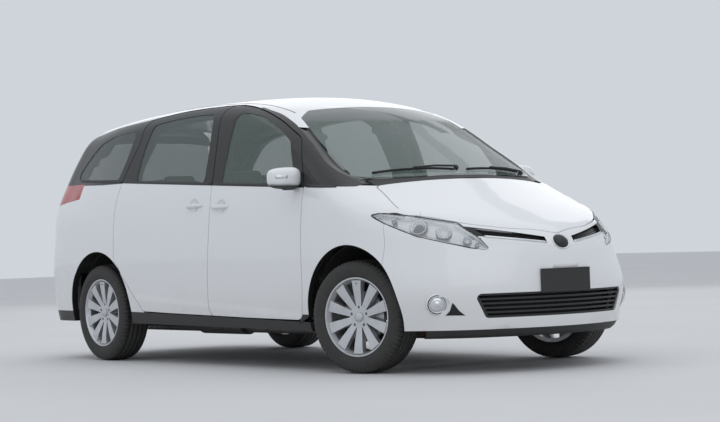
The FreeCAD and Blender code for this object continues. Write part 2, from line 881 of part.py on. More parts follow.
# Fog lamps in the round openings of the bumper
fog_recess = 7.0
fog_skin = nose_skin(height(0.17), height(0.29), 24, 64, level(fog_recess), level(bumper_depth), 6, 9)
fog_lamp = largest(fog_skin.common(Part.makeCylinder(
    fog_lamp_radius - seat_gap, front_overhang,
    vector(fog_lamp_x, nose_y - overrun, fog_lamp_z), vector(0, 1, 0),
)))

# Outlines of the windscreen and of the cowl below it, seen from above
screen_half_shares = (
    (0.020, 0.955), (0.400, 0.985), (0.700, 1.036), (0.770, 1.062), (0.742, 1.140),
    (0.705, 1.215), (0.650, 1.290), (0.520, 1.318), (0.300, 1.306), (0.020, 1.300),
)
screen_points = symmetric([(x * half_width, station(t)) for x, t in screen_half_shares])
screen_clear = top_cutter(grown(screen_points, seat_gap), screen_corner, height(0.6))
cowl_half_shares = ((0.500, 0.915), (0.700, 0.985), (0.715, 1.048), (0.500, 1.048))
cowl_points = symmetric([(x * half_width, station(t)) for x, t in cowl_half_shares])
cowl_clear = top_cutter(grown(cowl_points, seat_gap), 0.0, height(0.4))

# Wings, from the headlamp to the front door
wing = side_skin(station(0.62), station(1.22), -42, 26, level(0.0), level(wing_depth), 16, 26)
wing = wing.common(side_cutter(wing_points, seam_corner))
wing = largest(cut_all(wing, [
    bonnet_clear, lamp_clear, arch_cutter(front_axle_y, arch_radius), door_clearance(),
    side_cutter(grown(along_side(front_pillar_shares), seat_gap), seam_corner), cowl_clear,
    screen_clear,
]))

# Quarter panels and the pillars round the windows
slide_clear = side_cutter(grown(slide_points, panel_gap), outline_corner, skew=door_edge_skew)
quarter = tail_skin(height(0.14), height(0.73), 24, 126, level(0.0), beside_frame, 14, 25)
tailgate_half_shares = (
    (0.745, 0.400), (0.770, 0.560), (0.750, 0.640), (0.720, 0.716),
    (0.715, 0.800), (0.700, 0.880), (0.690, 0.930), (0.690, 1.020),
)
tailgate_points = symmetric([(x * half_width, height(z)) for x, z in tailgate_half_shares])
tailgate_clear = front_cutter(
    grown(tailgate_points, panel_gap / 2), tailgate_corner, station(2.42), rear_overhang)
tail_lamp_shares = (
    (0.700, 0.712), (0.760, 0.570), (0.860, 0.600), (0.930, 0.655), (0.930, 0.709),
)
tail_lamp_points = [(x * half_width, height(z)) for x, z in tail_lamp_shares]
tail_lamp_clear = front_cutter(
    grown(tail_lamp_points, seat_gap), seam_corner, station(2.36), rear_overhang)
quarter = quarter.common(side_cutter(along_side(quarter_shares), seam_corner))
quarter = largest(cut_all(quarter, [
    slide_clear, arch_cutter(rear_axle_y, arch_radius), tailgate_clear, tail_lamp_clear,
    side_cutter(grown(along_side(sill_shares), seat_gap)),
]))
quarter_window_points = along_side(quarter_window_shares)
rear_pillar = rear_star_skin(-14, 60, 24, 130, level(0.0), beside_frame, 22, 27)
rear_pillar = rear_pillar.common(side_cutter(along_side(rear_pillar_shares), seam_corner))
rear_pillar = largest(cut_all(rear_pillar, [
    slide_clear, side_cutter(quarter_window_points, window_corner), tailgate_clear,
    tail_lamp_clear,
]))
quarter_glass = window_glass(quarter_window_points)

# Windscreen and the pillars beside it
windscreen = skin(
    up_rays,
    spread(-0.80 * half_width, 0.80 * half_width, 15),
    spread(station(0.92), station(1.35), 15),
    level(0.0), level(glass_thickness),
)
windscreen = largest(windscreen.common(top_cutter(screen_points, screen_corner)))
front_pillar = side_skin(station(1.00), station(1.45), 8, 52, level(0.0), beside_frame, 24, 28)
front_pillar = front_pillar.common(side_cutter(along_side(front_pillar_shares), seam_corner))
front_pillar = largest(cut_all(front_pillar, [screen_clear, cowl_clear, door_clearance()]))

# Cowl between the bonnet and the windscreen
cowl = skin(
    bonnet_rays,
    spread(-0.45 * half_width, 0.45 * half_width, 13),
    spread(station(0.80), station(1.048), 9),
    level(cowl_recess), level(cowl_depth),
)
cowl = largest(cut_all(cowl.common(top_cutter(cowl_points)), [bonnet_clear, screen_clear]))

# Roof, from the windscreen to the tailgate
roof = skin(
    side_rays,
    spread(station(1.22), station(2.50), 21),
    spread(math.radians(38), math.radians(142), 33),
    level(0.0), level(roof_depth),
)
roof_low_shares = (
    (1.200, 0.840), (1.301, 0.870), (1.372, 0.905), (1.440, 0.930),
    (1.500, 0.940), (1.640, 0.950), (1.738, 0.945), (1.852, 0.9365),
    (1.852, 0.9490), (2.100, 0.9295), (2.300, 0.914), (2.560, 0.896),
    (2.560, 0.700), (1.200, 0.700),
)
roof_cut = side_cutter(along_side(roof_low_shares), 0.0, -half_width - overrun, 4 * half_width)
roof_end = station(2.42)
roof_tail = block(
    vector(-body_width, roof_end, 0),
    vector(body_width, station(3) + overrun, overall_height + overrun),
)
front_pillar_clear = side_cutter(
    grown(along_side(front_pillar_shares), pillar_clearance), seam_corner)
rear_pillar_clear = side_cutter(grown(along_side(rear_pillar_shares), seat_gap), seam_corner)
roof = largest(cut_all(roof, [
    roof_tail, roof_cut, screen_clear, front_pillar_clear, mirrored(front_pillar_clear),
    door_clearance(), mirrored(door_clearance()), slide_clear, mirrored(slide_clear),
    rear_pillar_clear, mirrored(rear_pillar_clear),
]))

# Tailgate, hinged at the rear edge of the roof
tailgate = skin(
    tailgate_rays, spread(math.radians(-36), math.radians(70), 26),
    spread(math.radians(-44), math.radians(44), 17), level(0.0), level(tailgate_depth),
)
roof_seam = roof_end + panel_gap + panel_gap / 4
tail_window_shares = ((0.600, 0.690), (0.615, 0.760), (0.560, 0.870), (0.300, 0.885))
tail_window_points = symmetric([(x * half_width, height(z)) for x, z in tail_window_shares])
tailgate_gap_block = block(
    vector(-body_width, station(1), 0),
    vector(body_width, roof_seam, overall_height + overrun),
)
tailgate = tailgate.common(front_cutter(
    grown(tailgate_points, -panel_gap / 2), tailgate_corner, station(2.30), rear_overhang))
tailgate = largest(cut_all(tailgate, [
    tailgate_gap_block,
    front_cutter(tail_window_points, tail_window_corner, station(2.30), rear_overhang),
]))
tail_glass = tail_skin(height(0.64), height(0.90), -36, 36, level(glass_recess),
                       level(glass_recess + glass_thickness), 9, 11)
tail_glass = largest(tail_glass.common(front_cutter(
    grown(tail_window_points, -seat_gap), tail_window_corner, station(2.30), rear_overhang)))

# Rear bumper, from the tailgate down and round to both wheel arches
rear_bumper_low_z = height(0.155)
rear_bumper = tail_skin(
    rear_bumper_low_z, height(0.42), -78, 78, level(0.0), level(bumper_depth), 8, 23)
quarter_clear = side_cutter(grown(along_side(quarter_shares), seat_gap), seam_corner)
rear_bumper = largest(cut_all(rear_bumper, [
    tailgate_clear, quarter_clear, mirrored(quarter_clear),
    arch_cutter(rear_axle_y, arch_radius), mirrored(arch_cutter(rear_axle_y, arch_radius)),
    block(vector(-body_width, 0, 0), vector(body_width, rear_axle_y, overall_height)),
]))
tail_lamp = tail_skin(
    height(0.55), height(0.73), 20, 70, level(0.0), level(tail_lamp_depth), 9, 11)
tail_lamp = tail_lamp.common(front_cutter(
    tail_lamp_points, seam_corner, station(2.36), rear_overhang))
tail_lamp = largest(tail_lamp.cut(tailgate_clear))

# Black sills below the doors
sill = side_skin(station(1.10), station(1.90), -46, -20, level(0.0), beside_frame, 10, 5)
sill = sill.common(side_cutter(along_side(sill_shares)))
sill = largest(cut_all(sill, [
    arch_cutter(front_axle_y, arch_radius), arch_cutter(rear_axle_y, arch_radius),
    side_cutter(grown(wing_points, panel_gap / 2), seam_corner),
]))

roller_radius = 12.0
roller_inset = 66.0
for roller_share in (1.58, 1.76):
    low_share, high_share = sill_shares[1], sill_shares[2]
    along_share = (roller_share - low_share[0]) / (high_share[0] - low_share[0])
    rise = low_share[1] + along_share * (high_share[1] - low_share[1])
    foot = vector(half_width - roller_inset, station(roller_share), height(rise) - 2 * roller_radius)
    top = vector(foot.x, foot.y, height(rise) + panel_gap - 2 * seat_gap)
    sill = sill.fuse(bar(foot, top, roller_radius))

# Inner frame of each side, behind the doors and round their openings
frame_reach = 70.0
door_opening = grown(door_points, -frame_reach)
slide_opening = grown(slide_points, -frame_reach)[3:] + along_side(
    ((1.565, 0.235), (1.562, 0.700), (1.590, 0.925)))
frame_side = folded_skin(
    side_rays, spread(station(1.095), station(2.72), 16),
    spread(math.radians(-44), math.radians(high_side_angle), 16),
    frame_behind, lambda z: frame_inner(z) - facet_sag,
)
frame_side = frame_side.common(side_cutter(along_side(cabin_side_shares), start=0.5 * half_width))
frame_side = largest(cut_all(frame_side, [
    side_cutter(door_opening, outline_corner),
    side_cutter(slide_opening, outline_corner),
    side_cutter(grown(quarter_window_points, frame_reach / 4), window_corner),
    front_pillar_clear,
    arch_cutter(rear_axle_y, arch_radius + liner_wall + seat_gap),
    arch_cutter(front_axle_y, arch_radius + liner_wall + seat_gap),
    screen_clear,
]))
hinge_room = Part.makeCylinder(
    hinge_clear_radius + frame_clearance, overall_height, vector(hinge_x, hinge_y, 0))
upper_room = Part.makeCylinder(
    hinge_clear_radius + upper_hinge_room, height(0.16), vector(hinge_x, hinge_y, height(0.6)))
frame_side = largest(cut_all(frame_side, [hinge_room, upper_room]))

# Hinge brackets of the front door, hollowed to turn against its front edge
bracket_shares = (0.30, 0.49)
bracket_height = 80.0
bracket_ahead = 75.0
bracket_inner = 118.0
bracket_outer = 38.0
hinge_seat = Part.makeCylinder(
    hinge_clear_radius + seat_gap, overall_height, vector(hinge_x, hinge_y, 0))
for bracket_share in bracket_shares:
    bracket = block(
        vector(hinge_x - bracket_inner, hinge_y - bracket_ahead, height(bracket_share)),
        vector(hinge_x - bracket_outer, hinge_y - frame_clearance,
               height(bracket_share) + bracket_height),
    )
    frame_side = frame_side.fuse(bracket.cut(hinge_seat))
frame_side = largest(frame_side)
apron = side_skin(station(0.70), station(1.13), -14, 20, level(wing_depth + 2 * weld_gap),
                  lambda z: frame_outer(z) - seat_gap, 10, 8)
apron = apron.common(side_cutter(along_side(apron_shares), seam_corner))
apron = largest(apron.cut(lamp_clear))

# Wheels
tyre_inner_radius = rim_diameter / 2 + seat_gap
bead_width = rim_width / 2
tyre_section_shares = ((1.0, 0.0), (1.0, 0.68), (0.80, 1.0))


def wheel_spin(profile):
    """Solid of revolution about the wheel's axle from (along, radius) points."""
    wire = Part.makePolygon([vector(a, 0, r) for a, r in profile + profile[:1]])
    return Part.Face(wire).revolve(vector(0, 0, 0), vector(1, 0, 0), 360)


def tyre_shape():
    """Tyre with upright walls and sloping shoulders."""
    half = tyre_width / 2
    tall = tyre_radius - tyre_inner_radius
    one_side = [(a * half, tyre_inner_radius + r * tall) for a, r in tyre_section_shares]
    other_side = [(-a, r) for a, r in reversed(one_side)]
    return wheel_spin(one_side + other_side)


spoke_reach = 22.0
hub_thickness = 51.0
hub_recess = 4.0
disc_radius = 148.0
disc_thickness = 24.0
cap_radius = 26.0
lip_wall = 8.0
barrel_wall = 24.0
lip_slope = 30.0
spoke_root_inset = 30.0
spoke_tip_inset = 18.0
spoke_root_depth = 36.0
spoke_tip_depth = 24.0
spoke_face_drop = 8.0
spoke_crown = 10.0
spoke_crown_inset = 70.0
bolt_hole_depth = 24.0
spoke_half_shares = (0.24, 0.50)


def rim_shape():
    """Rim barrel, spokes, hub and brake disc, with the outer face towards +X."""
    half = bead_width
    lip = rim_diameter / 2
    barrel = wheel_spin([
        (-half, lip - barrel_wall), (-half, lip), (half, lip), (half, lip - lip_wall),
        (half - lip_slope, lip - barrel_wall),
    ])
    hub_face = half - spoke_reach
    hub_back = hub_face - hub_thickness
    hub = drum(hub_radius, hub_back, hub_face - hub_recess, 0, 0)
    cap = drum(cap_radius, hub_back, hub_face, 0, 0)
    root = hub_radius - spoke_root_inset
    tip = lip - spoke_tip_inset
    narrow, wide = [share * hub_radius for share in spoke_half_shares]
    wire = rounded([(root, -narrow), (tip, -wide), (tip, wide), (root, narrow)], 0.0,
                   lambda a, b: vector(hub_back, b, a))
    spoke_plate = prism(wire, vector(2 * half, 0, 0))
    spoke_side = [
        (hub_face - spoke_root_depth, root), (hub_face - spoke_face_drop, root),
        (hub_face + spoke_crown, lip - spoke_crown_inset), (half - spoke_face_drop, tip),
        (hub_face - spoke_tip_depth, tip),
    ]
    side_wire = Part.makePolygon([vector(a, -half, r) for a, r in spoke_side + spoke_side[:1]])
    spoke = spoke_plate.common(prism(side_wire, vector(0, 2 * half, 0)))
    spokes = []
    for i in range(spoke_count):
        turned = spoke.copy()
        turned.rotate(vector(0, 0, 0), vector(1, 0, 0), 360.0 * i / spoke_count)
        spokes.append(turned)
    rim = barrel.fuse([hub, cap] + spokes)
    for i in range(wheel_bolt_count):
        angle = 2 * math.pi * i / wheel_bolt_count
        y = bolt_circle_radius * math.sin(angle)
        z = bolt_circle_radius * math.cos(angle)
        rim = rim.cut(drum(bolt_hole_radius, hub_face - bolt_hole_depth, half + overrun, y, z))
    disc = drum(disc_radius, hub_back - disc_thickness, hub_back, 0, 0)
    return rim.fuse(disc)


def placed_wheel(shape, side, axle_y, steer):
    """Wheel part set at its corner, turned about the kingpin if it steers."""
    copy = shape.copy() if side > 0 else mirrored(shape)
    copy.translate(vector(side * wheel_x, axle_y, axle_z))
    if steer:
        copy.rotate(vector(side * kingpin_x, axle_y, axle_z), vector(0, 0, 1), steer)
    return copy


tyre = tyre_shape()
rim = rim_shape()

# Levels and places of the floor and of the rails under the bonnet
floor_z = height(0.2)
floor_thickness = 30.0
bulkhead_y = station(1.10)
bulkhead_half = 715.0
rail_inner_x = 400.0
rail_width = 62.0
rail_low_z = height(0.27)
latch_radius = 14.0
rest_radius = 9.0
rest_x = 300.0

# Knuckles that carry the front wheels
hub_back_x = wheel_x + bead_width - spoke_reach - hub_thickness - disc_thickness
carrier_gap = 0.7
carrier_radius = 48.0
carrier_length = 46.0
hub_inner_x = hub_back_x - carrier_gap
upper_ball_z = axle_z + 150.0
lower_ball_z = axle_z - 135.0
knuckle_half = 28.0
kingpin_half = 20.0
ball_clearance = 18.0
link_half_height = 40.0
caliper_reach = 150.0
caliper_inset = 96.0
caliper_half_height = 60.0
caliper_back = 30.0
caliper_front = 4.0
bracket_reach = 110.0
bracket_half_height = 25.0


def knuckle_shape():
    """Hub carrier, upright and brake caliper of the left front wheel."""
    y, z = front_axle_y, axle_z
    hub_carrier = drum(carrier_radius, hub_inner_x - carrier_length,
                       hub_inner_x + carrier_gap - seat_gap, y, z)
    upright = block(
        vector(kingpin_x - kingpin_half, y - knuckle_half, lower_ball_z + ball_clearance),
        vector(kingpin_x + kingpin_half, y + knuckle_half, upper_ball_z - ball_clearance),
    )
    link = block(
        vector(kingpin_x - kingpin_half, y - knuckle_half, z - link_half_height),
        vector(hub_inner_x - kingpin_half, y + knuckle_half, z + link_half_height),
    )
    caliper = block(
        vector(hub_inner_x - caliper_back, y + caliper_inset, z - caliper_half_height),
        vector(hub_inner_x - caliper_front, y + caliper_reach, z + caliper_half_height),
    )
    bracket = block(
        vector(hub_inner_x - caliper_back, y, z - bracket_half_height),
        vector(hub_inner_x - 2 * caliper_front, y + bracket_reach, z + bracket_half_height),
    )
    return fuse_all([hub_carrier, upright, link, caliper, bracket])


knuckle = knuckle_shape()

# Crossbeam under the engine, with arms to the lower balls and struts above
crossbeam_half = 330.0
crossbeam_front = 70.0
crossbeam_back = 190.0
crossbeam_low = 20.0
crossbeam_high = 60.0
tower_inner_x = 300.0
tower_front = 110.0
tower_back = 170.0
tower_overlap = 15.0
arm_root_x = 320.0
arm_root_rise = 10.0
front_arm_back = -50.0
rear_arm_back = 160.0
front_arm_radius = 17.0
ball_joint_radius = 22.0
ball_joint_height = 36.0
strut_elbow_x = 598.0
strut_top_x = 585.0
strut_top_z = height(0.48)
strut_radius = 26.0
strut_arm_radius = 15.0
strut_drop = 30.0


def crossbeam_shape():
    y = front_axle_y
    pieces = [block(
        vector(-crossbeam_half, y - crossbeam_front, lower_ball_z - crossbeam_low),
        vector(crossbeam_half, y + crossbeam_back, lower_ball_z + crossbeam_high),
    )]
    for side in (1, -1):
        low, high = sorted((side * tower_inner_x, side * (rail_inner_x + rail_width)))
        pieces.append(block(
            vector(low, y + tower_front, lower_ball_z + crossbeam_high - tower_overlap),
            vector(high, y + tower_back, rail_low_z - seat_gap)))
        foot = vector(side * kingpin_x, y, lower_ball_z)
        for back in (front_arm_back, rear_arm_back):
            root = vector(side * arm_root_x, y + back, lower_ball_z + arm_root_rise)
            pieces.append(bar(root, foot, front_arm_radius))
        pieces.append(Part.makeCylinder(
            ball_joint_radius, ball_joint_height,
            foot - vector(0, 0, ball_joint_height / 2 + seat_gap)))
    return fuse_all(pieces)


def strut_shape(side):
    """Spring leg with a short arm to the upper ball of a knuckle."""
    head = vector(side * kingpin_x, front_axle_y, upper_ball_z)
    elbow = vector(side * strut_elbow_x, front_axle_y, upper_ball_z)
    top = vector(side * strut_top_x, front_axle_y, strut_top_z)
    ball = Part.makeCylinder(
        ball_joint_radius, ball_joint_height,
        head - vector(0, 0, ball_joint_height / 2 - seat_gap))
    return fuse_all([
        ball, bar(elbow, head, strut_arm_radius),
        bar(elbow - vector(0, 0, strut_drop), top, strut_radius),
    ])


# Rear axle: a beam with trailing arms and a hub at each end
arm_x = 428.0
arm_radius = 30.0
arm_front = 560.0
arm_back = 60.0
axle_beam_radius = 42.0
axle_beam_drop = 62.0
axle_beam_ahead = 150.0
rear_hub_radius = 28.0
hub_boss_radius = 46.0
hub_boss_x = 560.0
rear_strut_x = 515.0
rear_strut_radius = 24.0
rear_strut_clearance = 8.0
rear_hub_x = hub_back_x - seat_gap


def rear_axle_shape():
    beam_z = floor_z - seat_gap - axle_beam_drop
    beam_y = rear_axle_y - axle_beam_ahead
    arm_z = floor_z - seat_gap - arm_radius
    pieces = [bar(vector(-arm_x, beam_y, beam_z), vector(arm_x, beam_y, beam_z), axle_beam_radius)]
    for side in (1, -1):
        pieces.append(bar(vector(side * arm_x, rear_axle_y - arm_front, arm_z),
                          vector(side * arm_x, rear_axle_y + arm_back, arm_z), arm_radius))
        low, high = sorted((side * arm_x, side * rear_hub_x))
        pieces.append(drum(rear_hub_radius, low, high, rear_axle_y, arm_z))
        low, high = sorted((side * hub_boss_x, side * rear_hub_x))
        pieces.append(drum(hub_boss_radius, low, high, rear_axle_y, axle_z))
        top_z = axle_z + arch_radius - rear_strut_clearance
        pieces.append(bar(vector(side * rear_strut_x, rear_axle_y, arm_z),
                          vector(side * rear_strut_x, rear_axle_y, top_z), rear_strut_radius))
    return fuse_all(pieces)


def rest_post(start, way, depth, radius):
    """Bar with a ball end that stops just short of the inside of a panel."""
    end = below_surface(start, way, level(depth + 2 * seat_gap + radius))
    return bar(vector(*start), end, radius).fuse(Part.makeSphere(radius, end))


# Floor, bulkhead, rear panel, rails under the bonnet, and what bonnet and
# tailgate rest on
front_beam_half = 470.0
rear_panel_half = 600.0


def floor_shape():
    floor = block(
        vector(-half_width, bulkhead_y, floor_z),
        vector(half_width, station(2.72), floor_z + floor_thickness),
    )
    bulkhead = block(
        vector(-bulkhead_half, bulkhead_y, floor_z),
        vector(bulkhead_half, bulkhead_y + floor_thickness, height(0.60)),
    )
    trim = side_skin(station(1.05), station(2.78), -39, -31, level(-trim_reach),
                     lambda z: frame_inner(z) + seat_gap, 14, 5)
    floor = cut_all(floor, [trim, mirrored(trim)])
    arches = []
    for axle_y in (front_axle_y, rear_axle_y):
        arches += both(arch_cutter(axle_y, arch_radius + liner_wall + seat_gap))
    pieces = [cut_all(floor.fuse(bulkhead), arches)]
    for side in (1, -1):
        low, high = sorted((side * rail_inner_x, side * (rail_inner_x + rail_width)))
        pieces.append(block(vector(low, station(0.21), rail_low_z),
                            vector(high, bulkhead_y + floor_thickness, height(0.34))))
        rest_foot = (side * rest_x, station(0.235), height(0.30))
        pieces.append(rest_post(rest_foot, (0.0, 0.0, 1.0), bonnet_depth, rest_radius))
    pieces.append(block(vector(-front_beam_half, station(0.205), height(0.25)),
                        vector(front_beam_half, station(0.255), height(0.35))))
    panel_y = station(2.80)
    panel_top = height(0.39)
    pieces.append(block(vector(-rear_panel_half, station(2.60), floor_z),
                        vector(rear_panel_half, panel_y + floor_thickness, floor_z + floor_thickness)))
    pieces.append(block(vector(-rear_panel_half, panel_y, floor_z),
                        vector(rear_panel_half, panel_y + floor_thickness, panel_top)))
    latch_foot = vector(0, panel_y + floor_thickness / 2, panel_top - latch_radius)
    latch_head = vector(0, latch_foot.y, height(0.43))
    pieces.append(bar(latch_foot, latch_head, latch_radius))
    pieces.append(rest_post(tuple(latch_head), (0.0, 1.0, 0.0), tailgate_depth, latch_radius))
    return largest(fuse_all(pieces))


# Wheel housings: half-round walls inside the wings, each with a flat inner wall
strut_hole_radius = 60.0
axle_slot_rise = 60.0
slot_overrun = 1.0


def liner_shape(axle_y, reach_x):
    outer = drum(arch_radius + liner_wall, arch_floor_x, reach_x, axle_y, axle_z)
    inner = drum(arch_radius, arch_floor_x + liner_wall, reach_x + overrun, axle_y, axle_z)
    below = block(vector(0, axle_y - 2 * arch_radius, 0),
                  vector(body_width, axle_y + 2 * arch_radius, axle_z - liner_low))
    return outer.cut(inner).cut(below)


front_liner = liner_shape(front_axle_y, half_width - front_liner_inset)
rear_liner = liner_shape(rear_axle_y, half_width - rear_liner_inset)
strut_hole = Part.makeCylinder(
    strut_hole_radius, overall_height, vector(strut_top_x, front_axle_y, axle_z))
front_liner = largest(cut_all(front_liner, [strut_hole, bumper, sill]))
axle_slot = block(
    vector(arch_floor_x - slot_overrun, rear_axle_y - 2 * arch_radius, 0),
    vector(arch_floor_x + liner_wall + slot_overrun, rear_axle_y + 2 * arch_radius,
           floor_z + axle_slot_rise),
)
rear_liner = largest(cut_all(rear_liner, [axle_slot, sill, quarter]))

engine_corner = 40.0
engine = rounded_block(vector(-rail_inner_x + seat_gap, station(0.33), height(0.19)),
                       vector(rail_inner_x - seat_gap, station(0.86), height(0.46)), engine_corner)

# Exhaust and fuel tank under the floor
exhaust_x = -380.0
exhaust_z = floor_z - 95.0
silencer_radius = 80.0
pipe_radius = 24.0
tank_right_x = -230.0
tank_left_x = 420.0
tank_low_z = floor_z - 170.0
tank_corner = 50.0
pipe_z = exhaust_z - 42.0
hanger_radius = 8.0
silencer = bar(vector(exhaust_x, station(1.62), exhaust_z),
               vector(exhaust_x, station(1.80), exhaust_z), silencer_radius)
tail_pipe = bar(vector(exhaust_x, station(1.10), pipe_z),
                vector(exhaust_x, station(2.60), pipe_z), pipe_radius)
hangers = [
    bar(vector(exhaust_x, station(share), pipe_z),
        vector(exhaust_x, station(share), floor_z - seat_gap), hanger_radius)
    for share in (1.14, 1.65, 1.77, 2.55)
]
exhaust = fuse_all([silencer, tail_pipe] + hangers)
fuel_tank = rounded_block(vector(tank_right_x, station(1.45), tank_low_z),
                          vector(tank_left_x, station(1.72), floor_z - seat_gap), tank_corner)

# Dashboard with its column, and the steering wheel
driver_x = -370.0
dash_corner = 40.0
dash_clearance = 4.0
dash_shares = ((1.20, 0.612), (1.27, 0.585), (1.282, 0.52), (1.255, 0.42), (1.20, 0.36))
dash_front_y = bulkhead_y + floor_thickness + seat_gap
dash_front = [(dash_front_y, height(0.36)), (dash_front_y, height(0.600))]
dash = side_cutter(dash_front + along_side(dash_shares), dash_corner, -half_width, body_width)
dash_trim = side_skin(station(1.05), station(1.35), -30, 30, level(-trim_reach),
                      lambda z: frame_inner(z) + dash_clearance, 8, 8)
dashboard = largest(cut_all(dash, [dash_trim, mirrored(dash_trim)]))
column_tilt = math.radians(26)
column_gap = 52.0
column_length = 160.0
column_radius = 26.0
wheel_centre = vector(driver_x, station(1.325), height(0.575))
column_way = vector(0, -math.cos(column_tilt), -math.sin(column_tilt))
column_start = wheel_centre + column_way * column_gap
column = bar(column_start, column_start + column_way * column_length, column_radius)
dashboard = fuse_all([dashboard, column])
steering_radius = 180.0
steering_grip = 15.0
grip_sides = 8
steering_boss_radius = 46.0
boss_front = 12.0
boss_back = column_gap - seat_gap
spoke_half = 13.0


def steering_wheel_shape():
    """Ring, boss and three spokes about the X axis, turned to the column."""
    grip = [
        (steering_grip * math.cos(2 * math.pi * i / grip_sides),
         steering_radius + steering_grip * math.sin(2 * math.pi * i / grip_sides))
        for i in range(grip_sides)
    ]
    pieces = [wheel_spin(grip), drum(steering_boss_radius, -boss_back, boss_front, 0, 0)]
    for turn in (90, 180, 270):
        spoke = block(vector(-steering_grip, -spoke_half, 0), vector(0, spoke_half, steering_radius))
        spoke.rotate(vector(0, 0, 0), vector(1, 0, 0), turn)
        pieces.append(spoke)
    wheel = fuse_all(pieces)
    wheel.rotate(vector(0, 0, 0), vector(0, 0, 1), 90)
    wheel.rotate(vector(0, 0, 0), vector(1, 0, 0), math.degrees(column_tilt))
    wheel.translate(wheel_centre)
    return wheel


steering_wheel = steering_wheel_shape()

# Seats: each has a base, a cushion, a back and a head restraint
seat_side_shares = (
    (0.00, 0.00), (0.02, 0.26), (0.06, 0.40), (0.55, 0.36), (0.98, 0.34),
    (1.10, 1.00), (1.32, 1.00), (1.26, 0.30), (1.10, 0.16), (0.90, 0.00),
)
head_shares = ((1.14, 1.06), (1.14, 1.34), (1.34, 1.34), (1.36, 1.06))
stay_shares = ((1.20, 0.90), (1.20, 1.10), (1.24, 1.10), (1.24, 0.90))
base_side_shares = (0.15, 0.95)
base_width_share = 0.36
cushion_rise = 150.0
base_overlap = 10.0
seat_corner = 45.0
head_corner = 40.0


def seat_shape(centre_x, front_y, width, depth, tall):
    """Cushion and back as one soft solid, its head restraint and its base."""
    base_z = floor_z + floor_thickness
    low_z = base_z + cushion_rise

    def places(shares):
        return [(front_y + a * depth, low_z + b * tall) for a, b in shares]

    body = side_cutter(places(seat_side_shares), seat_corner, centre_x - width / 2, width)
    head = side_cutter(places(head_shares), head_corner, centre_x - width / 4, width / 2)
    stays = side_cutter(places(stay_shares), 0.0, centre_x - width / 12, width / 6)
    front, back = [front_y + share * depth for share in base_side_shares]
    base_half = base_width_share * width
    base = block(vector(centre_x - base_half, front, base_z + seat_gap),
                 vector(centre_x + base_half, back, low_z + base_overlap))
    return fuse_all([body, head, stays, base])


seat_tall = 560.0
front_seat_x = 370.0
front_seat_width = 500.0
front_seat_depth = 520.0
middle_seat_width = 470.0
middle_seat_depth = 480.0
rear_seat_x = 308.0
rear_seat_width = 300.0
rear_seat_depth = 470.0
front_seats = [seat_shape(x, station(1.40), front_seat_width, front_seat_depth, seat_tall)
               for x in (-front_seat_x, front_seat_x)]
middle_seats = [seat_shape(x, station(1.70), middle_seat_width, middle_seat_depth, seat_tall)
                for x in (-front_seat_x, front_seat_x)]
rear_seats = [seat_shape(x, station(2.08), rear_seat_width, rear_seat_depth, seat_tall)
              for x in (-rear_seat_x, 0.0, rear_seat_x)]

# Door mirrors: a housing that fits three outlines, on a short arm
mirror_half_width = 118.0
mirror_half_height = 72.0
mirror_back = 26.0
mirror_front = 64.0
mirror_corner = 46.0
mirror_centre = vector(1.045 * half_width, station(1.185), height(0.672))
mirror_arm_radius = 20.0
mirror_arm_start = 40.0
mirror_front_shares = ((-1.0, -0.86), (0.92, -0.95), (1.0, 0.72), (-0.92, 1.0))
mirror_top_shares = ((-1.0, 1.0), (-0.94, -0.35), (-0.60, -1.0), (0.50, -1.0), (1.0, -0.30), (1.0, 1.0))


def mirror_shape():
    """Mirror housing, rounded towards the front, with its arm to the door."""

    def place(share):
        return share * (mirror_back if share > 0 else mirror_front)

    front_wire = rounded(
        [(x * mirror_half_width, z * mirror_half_height) for x, z in mirror_front_shares],
        mirror_corner, lambda a, b: vector(a, -mirror_front, b))
    top_wire = rounded(
        [(x * mirror_half_width, place(y)) for x, y in mirror_top_shares],
        mirror_corner, lambda a, b: vector(a, b, -mirror_half_height))
    housing = prism(front_wire, vector(0, mirror_front + mirror_back, 0)).common(
        prism(top_wire, vector(0, 0, 2 * mirror_half_height)))
    housing.translate(mirror_centre)
    start = mirror_centre - vector(mirror_arm_start, 0, mirror_arm_start)
    end = vector(0.955 * half_width + seat_gap, mirror_centre.y, height(0.648))
    return housing.fuse(bar(start, end, mirror_arm_radius)).removeSplitter()


door_face = side_skin(station(1.10), station(1.30), 0, 40, level(-seat_gap), level(overrun), 6, 6)
mirror = largest(mirror_shape().cut(door_face))

